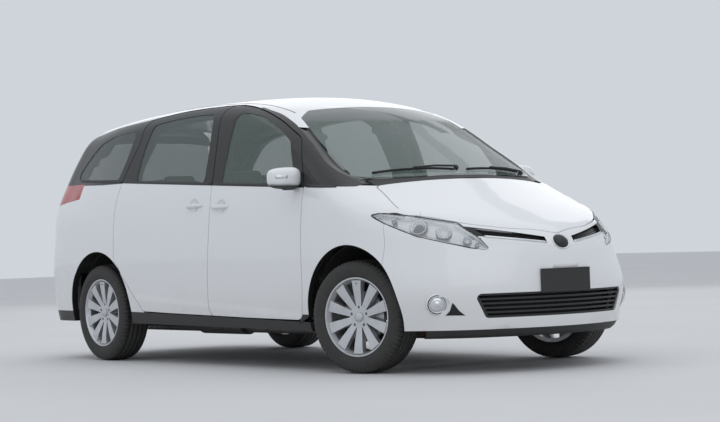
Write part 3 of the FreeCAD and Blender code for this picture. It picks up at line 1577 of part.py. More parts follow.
nodes = {
    "floor_pan": [floor_shape(), fuel_tank],
    "body_frame": both(frame_side) + both(apron),
    "window_pillars": both(front_pillar) + both(rear_pillar),
    "roof_panel": [roof],
    "quarter_panels": both(quarter),
    "front_wings": both(wing),
    "sliding_doors": both(sliding_door),
    "front_bumper": [bumper],
    "lower_grille": [lower_grille],
    "fog_lamps": both(fog_lamp),
    "rear_bumper": [rear_bumper],
    "grille": [grille],
    "headlamps": both(lamp_housing),
    "headlamp_lenses": both(lamp_lens),
    "tail_lamps": both(tail_lamp),
    "windscreen": [windscreen],
    "side_glasses": both(sliding_glass) + both(quarter_glass),
    "side_sills": both(sill),
    "arch_liners": both(front_liner) + both(rear_liner),
    "front_subframe": [crossbeam_shape(), strut_shape(1), strut_shape(-1)],
    "engine_block": [engine],
    "rear_axle": [rear_axle_shape()],
    "exhaust": [exhaust],
    "dashboard": [dashboard],
    "front_seats": front_seats,
    "middle_seats": middle_seats,
    "rear_seats": rear_seats,
    "cowl": [cowl],
    "bonnet": [bonnet],
    "front_door_left": [front_door],
    "front_door_right": [mirrored(front_door)],
    "door_glass_left": [front_glass],
    "door_glass_right": [mirrored(front_glass)],
    "mirror_left": [mirror],
    "mirror_right": [mirrored(mirror)],
    "tailgate": [tailgate],
    "tailgate_glass": [tail_glass],
    "steering_wheel": [steering_wheel],
    "knuckle_left": [knuckle],
    "knuckle_right": [mirrored(knuckle)],
}
for name, side in (("knuckle_left", 1), ("knuckle_right", -1)):
    nodes[name][0].rotate(
        vector(side * kingpin_x, front_axle_y, axle_z), vector(0, 0, 1), steer_angle_parked)
corners = (
    ("front_left", 1, front_axle_y, steer_angle_parked),
    ("front_right", -1, front_axle_y, steer_angle_parked),
    ("rear_left", 1, rear_axle_y, 0.0),
    ("rear_right", -1, rear_axle_y, 0.0),
)
for name, side, axle_y, steer in corners:
    nodes["tyre_" + name] = [placed_wheel(tyre, side, axle_y, steer)]
    nodes["wheel_" + name] = [placed_wheel(rim, side, axle_y, steer)]

for name, solids in nodes.items():
    shape = solids[0] if len(solids) == 1 else Part.makeCompound(solids)
    shape.exportStep("parts/" + name + ".step")
    print(name, len(shape.Solids), shape.isValid(), round(shape.Volume / 1e6, 2))
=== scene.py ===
# %% [markdown]
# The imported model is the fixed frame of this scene. It is loaded first, and
# its box is kept, because every piece added below has to stay inside it. A
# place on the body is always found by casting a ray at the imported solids, so
# that no piece is fitted by eye.

# %% Load the frame
import json
import math

import bmesh
import bpy
from mathutils import Matrix, Vector
from mathutils.bvhtree import BVHTree


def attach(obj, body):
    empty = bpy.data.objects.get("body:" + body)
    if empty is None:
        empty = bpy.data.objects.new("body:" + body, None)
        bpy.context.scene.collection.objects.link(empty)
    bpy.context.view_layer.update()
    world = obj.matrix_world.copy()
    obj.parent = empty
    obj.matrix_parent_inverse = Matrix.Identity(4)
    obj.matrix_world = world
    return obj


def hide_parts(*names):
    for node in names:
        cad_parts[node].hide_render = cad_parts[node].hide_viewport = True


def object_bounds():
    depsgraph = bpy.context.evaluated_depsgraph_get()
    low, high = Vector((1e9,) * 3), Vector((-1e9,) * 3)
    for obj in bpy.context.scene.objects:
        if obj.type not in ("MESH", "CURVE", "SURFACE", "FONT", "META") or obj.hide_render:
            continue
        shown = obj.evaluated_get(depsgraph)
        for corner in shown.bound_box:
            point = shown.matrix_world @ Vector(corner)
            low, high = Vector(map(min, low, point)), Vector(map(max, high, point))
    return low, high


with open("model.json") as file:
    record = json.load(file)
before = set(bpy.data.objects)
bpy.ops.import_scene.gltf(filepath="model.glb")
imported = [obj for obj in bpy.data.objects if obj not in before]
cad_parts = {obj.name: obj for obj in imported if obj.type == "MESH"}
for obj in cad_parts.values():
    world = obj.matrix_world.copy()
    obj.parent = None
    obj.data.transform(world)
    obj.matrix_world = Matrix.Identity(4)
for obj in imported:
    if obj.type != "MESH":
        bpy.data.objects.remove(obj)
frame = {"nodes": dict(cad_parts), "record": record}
frame_low, frame_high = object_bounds()
nodes = frame["nodes"]
length = frame_high[1] - frame_low[1]
print("nodes", len(nodes), "length", round(length, 3))

# %% [markdown]
# Shader maths reads best as ordinary sums. A small class wraps one socket of a
# node tree and answers to the usual operators, and one method makes any other
# node. Noise, bump and mixing then take one line each in the materials.

# %% Shader maths
class Signal:
    """One output socket of a material's node tree."""

    def __init__(self, net, socket):
        self.net = net
        self.socket = socket

    def sum_with(self, kind, first, second=None):
        return self.net.make("ShaderNodeMath", {"operation": kind}, {0: first, 1: second})

    def __add__(self, other):
        return self.sum_with("ADD", self, other)

    def __radd__(self, other):
        return self.sum_with("ADD", other, self)

    def __sub__(self, other):
        return self.sum_with("SUBTRACT", self, other)

    def __rsub__(self, other):
        return self.sum_with("SUBTRACT", other, self)

    def __mul__(self, other):
        return self.sum_with("MULTIPLY", self, other)

    def __rmul__(self, other):
        return self.sum_with("MULTIPLY", other, self)

    def __truediv__(self, other):
        return self.sum_with("DIVIDE", self, other)

    def __pow__(self, other):
        return self.sum_with("POWER", self, other)

    def above(self, edge, soft):
        """0 below an edge and 1 above it, with a soft step."""
        return self.net.make(
            "ShaderNodeMapRange", {"interpolation_type": "SMOOTHSTEP"},
            {"Value": self, "From Min": edge - soft, "From Max": edge + soft})

    def sine(self):
        return self.sum_with("SINE", self)

    def size(self):
        return self.sum_with("ABSOLUTE", self)


class Net:
    """A new material, and the makers of its nodes."""

    def __init__(self, name):
        self.material = bpy.data.materials.new(name)
        self.material.use_nodes = True
        self.tree = self.material.node_tree
        self.shader = self.tree.nodes["Principled BSDF"]
        self.place = self.make("ShaderNodeTexCoord", {}, {}, "Object")

    def make(self, kind, settings, inputs, output=0):
        node = self.tree.nodes.new(kind)
        for key, value in settings.items():
            setattr(node, key, value)
        for key, value in inputs.items():
            if isinstance(value, Signal):
                self.tree.links.new(value.socket, node.inputs[key])
            elif value is not None:
                node.inputs[key].default_value = value
        return Signal(self, node.outputs[output])

    def axis(self, letter):
        return self.make("ShaderNodeSeparateXYZ", {}, {0: self.place}, letter)

    def noise(self, scale, detail=3.0, rough=0.5, at=None):
        return self.make("ShaderNodeTexNoise", {},
                         {"Vector": at or self.place, "Scale": scale, "Detail": detail,
                          "Roughness": rough}, "Fac")

    def cells(self, scale):
        return self.make("ShaderNodeTexVoronoi", {}, {"Vector": self.place, "Scale": scale},
                         "Distance")

    def blend(self, share, first, second):
        """Colour between two colours."""
        inputs = {"Factor": share, "A": first, "B": second}
        node = self.tree.nodes.new("ShaderNodeMix")
        node.data_type = "RGBA"
        sockets = {"Factor": node.inputs[0], "A": node.inputs[6], "B": node.inputs[7]}
        for key, value in inputs.items():
            if isinstance(value, Signal):
                self.tree.links.new(value.socket, sockets[key])
            else:
                sockets[key].default_value = value
        return Signal(self, node.outputs[2])

    def bump(self, height, strength, distance):
        return self.make("ShaderNodeBump", {},
                         {"Height": height, "Strength": strength, "Distance": distance}, "Normal")

    def set(self, **values):
        """Sets sockets of the shader, named with underscores for spaces."""
        for key, value in values.items():
            socket = self.shader.inputs[key.replace("_", " ")]
            if isinstance(value, Signal):
                self.tree.links.new(value.socket, socket)
            else:
                socket.default_value = value
        return self.material


def grey(value, warm=0.0):
    return (value + warm, value, value - warm, 1.0)


print("shader maths ready")

# %% [markdown]
# The body is white paint under a clear coat. Real paint is never quite even:
# a fine orange peel ripples its reflections, and road dust lies on the parts
# near the ground. Both are driven by height and by noise in object space, so
# they stay on the panel when a door or the bonnet moves.

# %% Painted metal
belt_at, belt_slope = 1.163, 0.0513
scoops = ((-0.112, 1.025), (0.212, 1.040))
axle_places, wheel_z, arch_edge = (-1.4715, 1.4785), 0.334, 0.4255
white = (0.80, 0.81, 0.82, 1)


crease_at, crease_slope, crease_half, crease_deep = 0.418, 0.056, 0.024, 0.012


def paint(name="white_paint", dark=None, dished=(), creased=False):
    """White paint. The dark maker masks what is black, dished lists (y, z) scoops, and
    creased adds the low fold of the doors."""
    net = Net(name)
    peel = net.noise(220.0, 2.0)
    clouds = net.noise(3.0, 4.0)
    low = 1.0 - net.axis("Z").above(0.42, 0.28)
    dust = low * clouds * 0.45
    colour = net.blend(dust, white, (0.50, 0.48, 0.45, 1))
    rough = dust * 0.35 + 0.20 + clouds * 0.04
    coat = 1.0 - dust
    if dark:
        mask = dark(net)
        colour = net.blend(mask, colour, grey(0.018))
        rough = rough + mask * 0.16
        coat = coat * (1.0 - mask * 0.75)
    normal = net.bump(peel, 0.03, 0.0004)
    for y, z in dished:
        across = (net.axis("Y") - y) / 0.062
        upward = (net.axis("Z") - z) / 0.052
        dish = (across * across + upward * upward).above(0.55, 0.45)
        normal = net.make("ShaderNodeBump", {}, {"Height": dish, "Strength": 0.9,
                                                 "Distance": 0.012, "Normal": normal}, "Normal")
    if creased:
        drop = crease_at + net.axis("Y") * crease_slope - net.axis("Z")
        fold = drop.above(crease_half, crease_half)
        normal = net.make("ShaderNodeBump", {}, {"Height": fold, "Strength": 0.9,
                                                 "Distance": crease_deep, "Normal": normal},
                          "Normal")
    return net.set(Base_Color=colour, Roughness=rough, Coat_Weight=coat,
                   Coat_Roughness=0.04, Specular_IOR_Level=0.25, Normal=normal)


def above_belt(net):
    """Mask of the black window frames: all of a door that is above the belt line."""
    return (net.axis("Z") - net.axis("Y") * belt_slope).above(belt_at + 0.002, 0.0012)


def in_arch(net):
    """Mask of the wall inside each wheel arch, which is dark under the painted lip."""
    upward = net.axis("Z") - wheel_z
    mask = 0.0
    for y in axle_places:
        along = net.axis("Y") - y
        reach = (along * along + upward * upward).above(arch_edge ** 2, 0.0004)
        mask = (1.0 - reach) + mask
    return mask


lip_top = 0.345


def low_trim(net):
    """Mask of the black lower lip of wings and rear bumper, with the arch walls."""
    lip = 1.0 - net.axis("Z").above(lip_top, 0.001)
    return net.make("ShaderNodeMath", {"operation": "MAXIMUM"}, {0: lip, 1: in_arch(net)})


def in_slot(net):
    """Mask of the dark slot on each side of the grille."""
    x, z = net.axis("X").size() - 0.1035, net.axis("Z")
    return ((z - x * 0.1296).above(0.7366, 0.0008) * (1.0 - (z - x * 0.1763).above(0.7710, 0.0008))
            * x.above(-0.001, 0.0008))


def plastic(name, colour, rough, grain_scale=900.0, grain=0.25):
    net = Net(name)
    grain_height = net.cells(grain_scale)
    patches = net.noise(6.0, 4.0)
    light = tuple(min(1.0, c * 1.5 + 0.006) for c in colour[:3]) + (1,)
    return net.set(Base_Color=net.blend(patches, colour, light),
                   Roughness=patches * 0.15 + rough,
                   Normal=net.bump(grain_height, grain, 0.0004))


def gloss_plastic(name, colour, rough=0.08):
    net = Net(name)
    smears = net.noise(9.0, 5.0)
    peel = net.noise(180.0, 1.0)
    return net.set(Base_Color=net.blend(smears * 0.3, colour, grey(0.03)),
                   Roughness=smears * 0.10 + rough, Coat_Weight=0.25, Coat_Roughness=0.03,
                   Specular_IOR_Level=0.25, Normal=net.bump(peel, 0.02, 0.0004))


def bright_metal(name, colour, rough, metallic=1.0):
    net = Net(name)
    smears = net.noise(14.0, 5.0)
    fine = net.noise(600.0, 2.0)
    darker = tuple(0.75 * c for c in colour[:3]) + (1,)
    return net.set(Base_Color=net.blend(smears, colour, darker), Metallic=metallic,
                   Roughness=smears * 0.12 + rough, Normal=net.bump(fine, 0.05, 0.0003))


def rough_metal(name, colour, rust, rough=0.55):
    net = Net(name)
    patches = net.noise(24.0, 6.0, 0.65)
    cast = net.noise(420.0, 3.0)
    share = patches.above(0.56, 0.08)
    return net.set(Base_Color=net.blend(share, colour, rust), Metallic=0.8 - share * 0.6,
                   Roughness=share * 0.25 + rough, Normal=net.bump(cast, 0.35, 0.0008))


print("paint, plastics and metals ready")

# %% [markdown]
# Window glass on this kind of vehicle is green where it is clear and almost
# black in the privacy panes behind the front doors. Each pane carries a black
# ceramic band round its edge, which is printed and not part of the pillar, so
# it belongs to the material. The band of the windscreen follows its outline.

# %% Glass and lamps
def glass(name, tint, rough=0.02, alpha=0.30):
    net = Net(name)
    streaks = net.noise(5.0, 4.0)
    return net.set(Base_Color=tint, Roughness=streaks * 0.03 + rough, IOR=1.5,
                   Alpha=streaks * 0.06 + alpha, Coat_Weight=0.5, Coat_Roughness=0.02)


def screen_glass():
    net = Net("screen_glass")
    x = net.axis("X").size()
    z = net.axis("Z")
    top = z.above(1.545, 0.02)
    low = 1.0 - (z - x * 0.06).above(1.125, 0.008)
    band = net.make("ShaderNodeMath", {"operation": "MAXIMUM"}, {0: top * 0.75, 1: low})
    streaks = net.noise(5.0, 4.0)
    return net.set(Base_Color=net.blend(band, (0.20, 0.27, 0.24, 1), grey(0.012)),
                   Roughness=streaks * 0.03 + 0.02, Alpha=band * 0.66 + 0.30,
                   Coat_Weight=0.5, Coat_Roughness=0.02)


def red_lens():
    net = Net("red_lens")
    ribs = (net.axis("Z") * 520.0).sine()
    patches = net.noise(12.0, 3.0)
    return net.set(Base_Color=net.blend(patches, (0.30, 0.006, 0.008, 1), (0.50, 0.02, 0.02, 1)),
                   Roughness=patches * 0.08 + 0.08, Coat_Weight=0.8, Coat_Roughness=0.03,
                   Normal=net.bump(ribs, 0.15, 0.0006))


def rubber():
    net = Net("tyre_rubber")
    dust = net.noise(30.0, 5.0)
    fine = net.noise(500.0, 2.0)
    return net.set(Base_Color=net.blend(dust, grey(0.018), (0.055, 0.052, 0.048, 1)),
                   Roughness=dust * 0.2 + 0.62, Normal=net.bump(fine, 0.2, 0.0006))


def cloth():
    net = Net("seat_cloth")
    x, y, z = net.axis("X"), net.axis("Y"), net.axis("Z")
    weave = (x * 1400.0).sine() * ((y + z) * 1400.0).sine()
    wear = net.noise(8.0, 4.0)
    return net.set(Base_Color=net.blend(wear, grey(0.05), grey(0.10, 0.004)),
                   Roughness=wear * 0.1 + 0.85, Sheen_Weight=0.4, Sheen_Roughness=0.5,
                   Normal=net.bump(weave, 0.5, 0.0006))


finishes = {
    "body_paint": paint(),
    "black_trim": plastic("black_trim", grey(0.016), 0.45),
    "gloss_black": gloss_plastic("gloss_black", grey(0.010)),
    "bare_structure": rough_metal("grey_structure", grey(0.10), (0.12, 0.10, 0.09, 1)),
    "underbody": plastic("underbody_coat", grey(0.02), 0.8, 140.0, 0.6),
    "glass_tinted": glass("tinted_glass", (0.10, 0.135, 0.12, 1), 0.02, 0.40),
    "lamp_clear": glass("clear_lens", (0.85, 0.88, 0.9, 1), 0.02, 0.12),
    "lamp_reflector": bright_metal("lamp_reflector", (0.80, 0.81, 0.83, 1), 0.06),
    "lamp_tray": bright_metal("lamp_tray", (0.78, 0.79, 0.81, 1), 0.20, 0.7),
    "lamp_red": red_lens(),
    "wheel_alloy": bright_metal("wheel_alloy", (0.68, 0.69, 0.71, 1), 0.30, 0.75),
    "tyre_rubber": rubber(),
    "iron_parts": rough_metal("cast_iron", grey(0.05), (0.11, 0.06, 0.035, 1)),
    "exhaust_steel": rough_metal("exhaust_steel", grey(0.16), (0.13, 0.09, 0.06, 1)),
    "seat_fabric": cloth(),
    "dash_plastic": plastic("dash_plastic", grey(0.035), 0.6, 1200.0),
}
screen = screen_glass()
door_paint = paint("door_paint", above_belt, scoops, creased=True)
grille_paint = paint("grille_paint", in_slot)
arch_paint = paint("arch_paint", in_arch)
lip_paint = paint("lip_paint", low_trim)
front_glass = glass("front_glass", (0.16, 0.22, 0.19, 1), 0.02, 0.28)
slots = {entry["node"]: entry["material_slot"] for entry in frame["record"]["subparts"]}
for name, node in nodes.items():
    node.data.materials.clear()
    node.data.materials.append(finishes[slots[name]])
nodes["windscreen"].data.materials[0] = screen
nodes["grille"].data.materials[0] = grille_paint
for name in ("rear_bumper", "front_wings"):
    nodes[name].data.materials[0] = lip_paint
for name in ("quarter_panels", "front_bumper"):
    nodes[name].data.materials[0] = arch_paint
for name in ("front_door_left", "front_door_right", "sliding_doors"):
    nodes[name].data.materials[0] = door_paint
for side in ("left", "right"):
    nodes["door_glass_" + side].data.materials[0] = front_glass
print("materials", len(finishes))

# %% [markdown]
# Every added piece is made with mesh code and rides on a body of the frame.
# These helpers make the common forms: a grid of points, a turned profile and a
# tube along a path. Another one casts a ray at the imported surface and gives
# the place where it first meets it, with the outward normal there.

# %% Piece helpers
def piece(name, verts, faces, body, finish, smooth=True):
    mesh = bpy.data.meshes.new(name)
    mesh.from_pydata([tuple(v) for v in verts], [], faces)
    mesh.validate()
    made = bmesh.new()
    made.from_mesh(mesh)
    bmesh.ops.recalc_face_normals(made, faces=made.faces)
    made.to_mesh(mesh)
    made.free()
    for face in mesh.polygons:
        face.use_smooth = smooth
    obj = bpy.data.objects.new(name, mesh)
    bpy.context.scene.collection.objects.link(obj)
    mesh.materials.append(finishes[finish] if isinstance(finish, str) else finish)
    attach(obj, body)
    return obj


def grid_faces(rows, columns, around=False):
    last = columns if around else columns - 1
    return [
        (r * columns + c, r * columns + (c + 1) % columns,
         (r + 1) * columns + (c + 1) % columns, (r + 1) * columns + c)
        for r in range(rows - 1) for c in range(last)
    ]


def hand(obj, kind, **settings):
    """Adds a modifier and applies it."""
    modifier = obj.modifiers.new(kind.lower(), kind)
    for key, value in settings.items():
        setattr(modifier, key, value)
    with bpy.context.temp_override(object=obj, active_object=obj, selected_objects=[obj]):
        bpy.ops.object.modifier_apply(modifier=modifier.name)
    return obj


def turned(name, profile, place, axis, body, finish, segments=48):
    """Solid of revolution from (along, radius) points about an axis."""
    spin = Vector(axis).normalized().to_track_quat("Z", "Y").to_matrix()
    verts = []
    for a, radius in profile:
        for i in range(segments):
            turn = 2 * math.pi * i / segments
            verts.append(Vector(place) + spin @ Vector(
                (radius * math.cos(turn), radius * math.sin(turn), a)))
    return piece(name, verts, grid_faces(len(profile), segments, True), body, finish)


def tube(name, path, radius, body, finish, sides=10):
    """Round bar along a path of points."""
    verts = []
    points = [Vector(p) for p in path]
    for i, point in enumerate(points):
        way = (points[min(i + 1, len(points) - 1)] - points[max(i - 1, 0)]).normalized()
        frame_of = way.to_track_quat("Z", "Y").to_matrix()
        for k in range(sides):
            turn = 2 * math.pi * k / sides
            verts.append(point + frame_of @ Vector(
                (radius * math.cos(turn), radius * math.sin(turn), 0)))
    faces = grid_faces(len(points), sides, True)
    faces.append(tuple(range(sides)))
    faces.append(tuple(range((len(points) - 1) * sides, len(points) * sides)))
    return piece(name, verts, faces, body, finish)


def spread(first, last, count):
    return [first + (last - first) * i / (count - 1) for i in range(count)]


trees = {}


def tree_of(*names):
    """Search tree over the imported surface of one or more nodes."""
    if names not in trees:
        verts, faces = [], []
        for name in names:
            start = len(verts)
            verts += [v.co.copy() for v in nodes[name].data.vertices]
            faces += [[start + i for i in p.vertices] for p in nodes[name].data.polygons]
        trees[names] = BVHTree.FromPolygons(verts, faces)
    return trees[names]


def touch(names, start, way):
    """Place and outward normal where a ray first meets the named nodes."""
    way = Vector(way).normalized()
    hit, normal, _, _ = tree_of(*names).ray_cast(Vector(start), way)
    if hit is None:
        return None, None
    return hit, (normal if normal.dot(way) < 0 else -normal)


def mirror_pieces(maker):
    """Makes a piece on both sides: the maker gets +1 for left and -1 for right."""
    return [maker(side, "left" if side > 0 else "right") for side in (1, -1)]


front_skin = ("front_bumper", "grille", "bonnet", "headlamps", "front_wings")
print("helpers ready")

# %% [markdown]
# Trim on a body follows its skin. A list of places is found by rays, each with
# its outward normal, and a half-round section is swept along them. One such
# moulding then serves for seals, belt strips, bright bars and joint lines.

# %% Mouldings along the skin
def fine(points, step=0.04):
    """A line of points with extra ones between its corners."""
    made = []
    for first, last in zip(points, points[1:]):
        first, last = Vector(first), Vector(last)
        count = max(1, int((last - first).length / step))
        made += [first.lerp(last, i / count) for i in range(count)]
    return made + [Vector(points[-1])]


def lay(names, points, way, back=0.4):
    """Places on the named nodes under a line of points, seen along one way."""
    way = Vector(way).normalized()
    found = [touch(names, Vector(p) - way * back, way) for p in points]
    return [(hit, normal) for hit, normal in found if hit is not None]


def moulding(name, places, half, rise, body, finish, sunk=0.002):
    """Half-round strip swept along places of the skin."""
    section = ((-half, -sunk), (-half, rise * 0.4), (-half * 0.6, rise), (half * 0.6, rise),
               (half, rise * 0.4), (half, -sunk))
    verts = []
    for i, (point, normal) in enumerate(places):
        way = places[min(i + 1, len(places) - 1)][0] - places[max(i - 1, 0)][0]
        across = way.cross(normal).normalized()
        verts += [point + across * a + normal * b for a, b in section]
    sides = len(section)
    faces = grid_faces(len(places), sides, True)
    faces += [tuple(range(sides)), tuple(range(len(verts) - sides, len(verts)))]
    return piece(name, verts, faces, body, finish)


def side_places(names, side, line, step=0.04):
    """Places on one side of the vehicle along a (y, z) line."""
    points = fine([(side * 1.0, y, z) for y, z in line], step)
    return lay(names, points, (-side, 0, 0))


def belt_height(y):
    return 1.163 + 0.0513 * y - 0.004 * max(0.0, y - 1.0) ** 2


belt_gap = 0.012
belt_runs = (
    ("wing", ("window_pillars", "front_wings"), "body", -1.30, -0.99),
    ("front_door", None, "door", -0.93, -0.012),
    ("sliding_door", ("sliding_doors",), "body", 0.03, 1.00),
    ("quarter", ("side_glasses", "quarter_panels", "window_pillars"), "body", 1.04, 1.90),
)


def belt_strips(side, word):
    for run, names, body, start, end in belt_runs:
        names = names or ("front_door_" + word,)
        body = body if body == "body" else "front_door_" + word
        line = [(y, belt_height(y) + belt_gap) for y in (start, end)]
        places = side_places(names, side, line)
        if len(places) > 2:
            moulding("belt_strip_" + run + "_" + word, places, 0.009, 0.0035, body, "black_trim")


mirror_pieces(belt_strips)
print("belt strips along", len(belt_runs), "runs on each side")

# %% [markdown]
# A pull handle is a bar that stands off the door at its middle and dives into
# it at both ends, over a shallow scoop for the fingers. The bar is lofted from
# oval sections, and the scoop is dished in the paint of the door itself.

# %% Door handles
handle_ends = {"front": (-0.200, -0.002, 1.025), "sliding": (0.106, 0.304, 1.040)}
handle_half, handle_thick, handle_reach = 0.0135, 0.0085, 0.020


def handle(kind, side, word):
    start, end, z = handle_ends[kind]
    node = "front_door_" + word if kind == "front" else "sliding_doors"
    body = "front_door_" + word if kind == "front" else "body"
    verts, sections, sides = [], 17, 14
    for i in range(sections):
        share = i / (sections - 1)
        hit, normal = touch((node,), (side * 1.2, start + (end - start) * share, z), (-side, 0, 0))
        arch = math.sin(math.pi * share) ** 0.45
        centre = hit + normal * (handle_reach * arch - 0.004)
        for k in range(sides):
            turn = 2 * math.pi * k / sides
            width = handle_half * (0.55 + 0.45 * arch)
            verts.append(centre + Vector((0, 0, 1)) * math.sin(turn) * width
                         + normal * math.cos(turn) * handle_thick)
    faces = grid_faces(sections, sides, True)
    faces += [tuple(range(sides)), tuple(range(len(verts) - sides, len(verts)))]
    piece("handle_" + kind + "_" + word, verts, faces, body, "body_paint")


for kind in handle_ends:
    mirror_pieces(lambda side, word, kind=kind: handle(kind, side, word))
print("handles", 2 * len(handle_ends))

# %% [markdown]
# The door mirror is one smooth pod with a flat back for the glass. The packed
# one is made of a few straight cuts, so it is replaced by a rounded shell. Its
# sections are super-ellipses that shrink towards the front, and its lower rim
# and arm are black. A clear strip for the indicator is let into its face.

# %% Door mirrors
pod_x, pod_y, pod_z = 0.9405, -0.92575, 1.176
pod_half, pod_tall, pod_front, pod_back = 0.112, 0.066, 0.062, 0.024


def pod_section(y_share, low, high, count, inset=0.0):
    """Points of one section of the pod, between two turns, at a share of its depth."""
    size = max(0.001, (1 - max(0.0, -y_share) ** 2.6) ** 0.5) - inset
    power = 2 / 3.2
    points = []
    for i in range(count):
        turn = low + (high - low) * i / (count - 1)
        c, s = math.cos(turn), math.sin(turn)
        x = math.copysign(abs(c) ** power, c) * pod_half * size
        z = math.copysign(abs(s) ** power, s) * pod_tall * size
        points.append((x, z * (1.0 - 0.10 * x / pod_half)))
    return points


def pod_shell(name, side, word, low, high, finish, count=33, inset=0.0):
    rows = [-1.0, -0.985, -0.94, -0.86, -0.73, -0.55, -0.3, 0.0, 0.5, 0.9, 1.0]
    verts = []
    for share in rows:
        y = pod_y + share * (pod_front if share < 0 else pod_back)
        for x, z in pod_section(share, low, high, count, inset):
            verts.append((side * (pod_x + x), y, pod_z + z))
    obj = piece(name + "_" + word, verts, grid_faces(len(rows), count), "front_door_" + word,
                finish)
    return obj


def mirror(side, word):
    full = 2 * math.pi
    cap = pod_shell("mirror_cap", side, word, 0.0, full, "body_paint", 65)
    hand(cap, "WELD", merge_threshold=0.0001)
    hand(cap, "SOLIDIFY", thickness=0.002, offset=-1.0)
    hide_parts("mirror_" + word)
    tray = pod_shell("mirror_tray", side, word, math.pi * 1.02, math.pi * 1.98, "black_trim", 33,
                     -0.012)
    for vert in tray.data.vertices:
        vert.co.z = min(vert.co.z, pod_z - 0.72 * pod_tall)
    face_y = pod_y + pod_back - 0.006
    ring = pod_section(0.9, 0, full, 49, 0.05)[:-1]
    verts = [(side * (pod_x + x), face_y, pod_z + z) for x, z in ring]
    glass_piece = piece("mirror_glass_" + word, verts, [tuple(range(len(verts)))],
                        "front_door_" + word, "lamp_reflector", False)
    hand(glass_piece, "SOLIDIFY", thickness=0.003)
    body_word = "front_door_" + word
    foot, _ = touch((body_word, "window_pillars"), (side * 1.2, pod_y + 0.01, 1.145), (-side, 0, 0))
    foot = foot or Vector((side * 0.83, pod_y, 1.145))
    arm = [foot + Vector((-side * 0.01, 0.0, 0.0)), foot + Vector((side * 0.02, 0, -0.006)),
           Vector((side * (pod_x - 0.06), pod_y, pod_z - 0.056)),
           Vector((side * (pod_x + 0.01), pod_y, pod_z - 0.056))]
    tube("mirror_arm_" + word, fine(arm, 0.02), 0.018, body_word, "black_trim", 12)
    pod = BVHTree.FromPolygons([v.co.copy() for v in cap.data.vertices],
                               [list(p.vertices) for p in cap.data.polygons])
    line = []
    for x in spread(0.020, 0.092, 10):
        hit, normal, _, _ = pod.ray_cast(Vector((side * (pod_x + x), -1.4, pod_z + 0.006)),
                                         Vector((0, 1, 0)))
        if hit is not None:
            line.append((hit, normal if normal.y < 0 else -normal))
    moulding("mirror_indicator_" + word, line, 0.0105, 0.0030, body_word,
             "lamp_reflector")


mirror_pieces(mirror)
print("mirrors stand", round(pod_x + pod_half, 3), "m from the middle")

# %% [markdown]
# Tyres are turned from one section: bead, bulging sidewall, square shoulder,
# and a tread with round grooves. Sipes across the shoulder come from moving
# whole columns of the section in and out, so that each block has steep ends.

# %% Tyres
wheels = {}
steer = math.radians(16.0)
for word, side in (("left", 1), ("right", -1)):
    lean = Vector((math.cos(steer), math.sin(steer), 0))
    wheels["front_" + word] = (
        Vector((side * 0.727, -1.4715, 0.334)) + side * 0.045 * lean, side * lean)
    wheels["rear_" + word] = (Vector((side * 0.772, 1.4785, 0.334)), Vector((side, 0, 0)))

half_section = (
    (0.000, 0.3338, 0), (0.014, 0.3338, 0), (0.0150, 0.3268, 0), (0.0215, 0.3268, 0),
    (0.0225, 0.3336, 0), (0.046, 0.3330, 0), (0.0470, 0.3262, 0), (0.0540, 0.3262, 0),
    (0.0550, 0.3324, 1), (0.080, 0.3300, 1), (0.0900, 0.3250, 1), (0.0965, 0.3160, 1),
    (0.1010, 0.3050, 0), (0.1045, 0.2950, 0), (0.1068, 0.2800, 0), (0.1070, 0.2660, 0),
    (0.1040, 0.2530, 0), (0.0985, 0.2440, 0), (0.0985, 0.2405, 0), (0.0945, 0.2385, 0),
    (0.0930, 0.2350, 0))
block_count = 72
block_steps = ((0.0, 0), (0.80, 0), (0.83, 1), (0.97, 1))


def tyre(name):
    place, axis = wheels[name]
    spin = axis.to_track_quat("Z", "Y").to_matrix()
    section = [(-a, r, g) for a, r, g in reversed(half_section[1:])] + list(half_section)
    section += [(0.0930, 0.2345, 0), (-0.0930, 0.2345, 0)]
    turns = [(b + share, sunk) for b in range(block_count) for share, sunk in block_steps]
    verts = []
    for a, radius, shoulder in section:
        for step, sunk in turns:
            turn = 2 * math.pi * (step + (0.5 if a < 0 else 0.0)) / block_count
            r = radius - 0.0045 * sunk * shoulder
            verts.append(place + spin @ Vector((r * math.cos(turn), r * math.sin(turn), a)))
    rows, columns = len(section), len(turns)
    faces = grid_faces(rows, columns, True)
    faces += [((rows - 1) * columns + c, (rows - 1) * columns + (c + 1) % columns,
               (c + 1) % columns, c) for c in range(columns)]
    made = piece("tyre_tread_" + name, verts, faces, "wheel_" + name, "tyre_rubber")
    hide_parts("tyre_" + name)
    return made


for name in wheels:
    tyre(name)
print("tyres", len(wheels), "with", block_count, "shoulder blocks")

# %% [markdown]
# The wheels keep their packed spokes. A plain domed cap, five nuts down in
# their bores and a valve are added, and a brake caliper holds each disc. A
# caliper stays with the steered knuckle while the wheel turns.

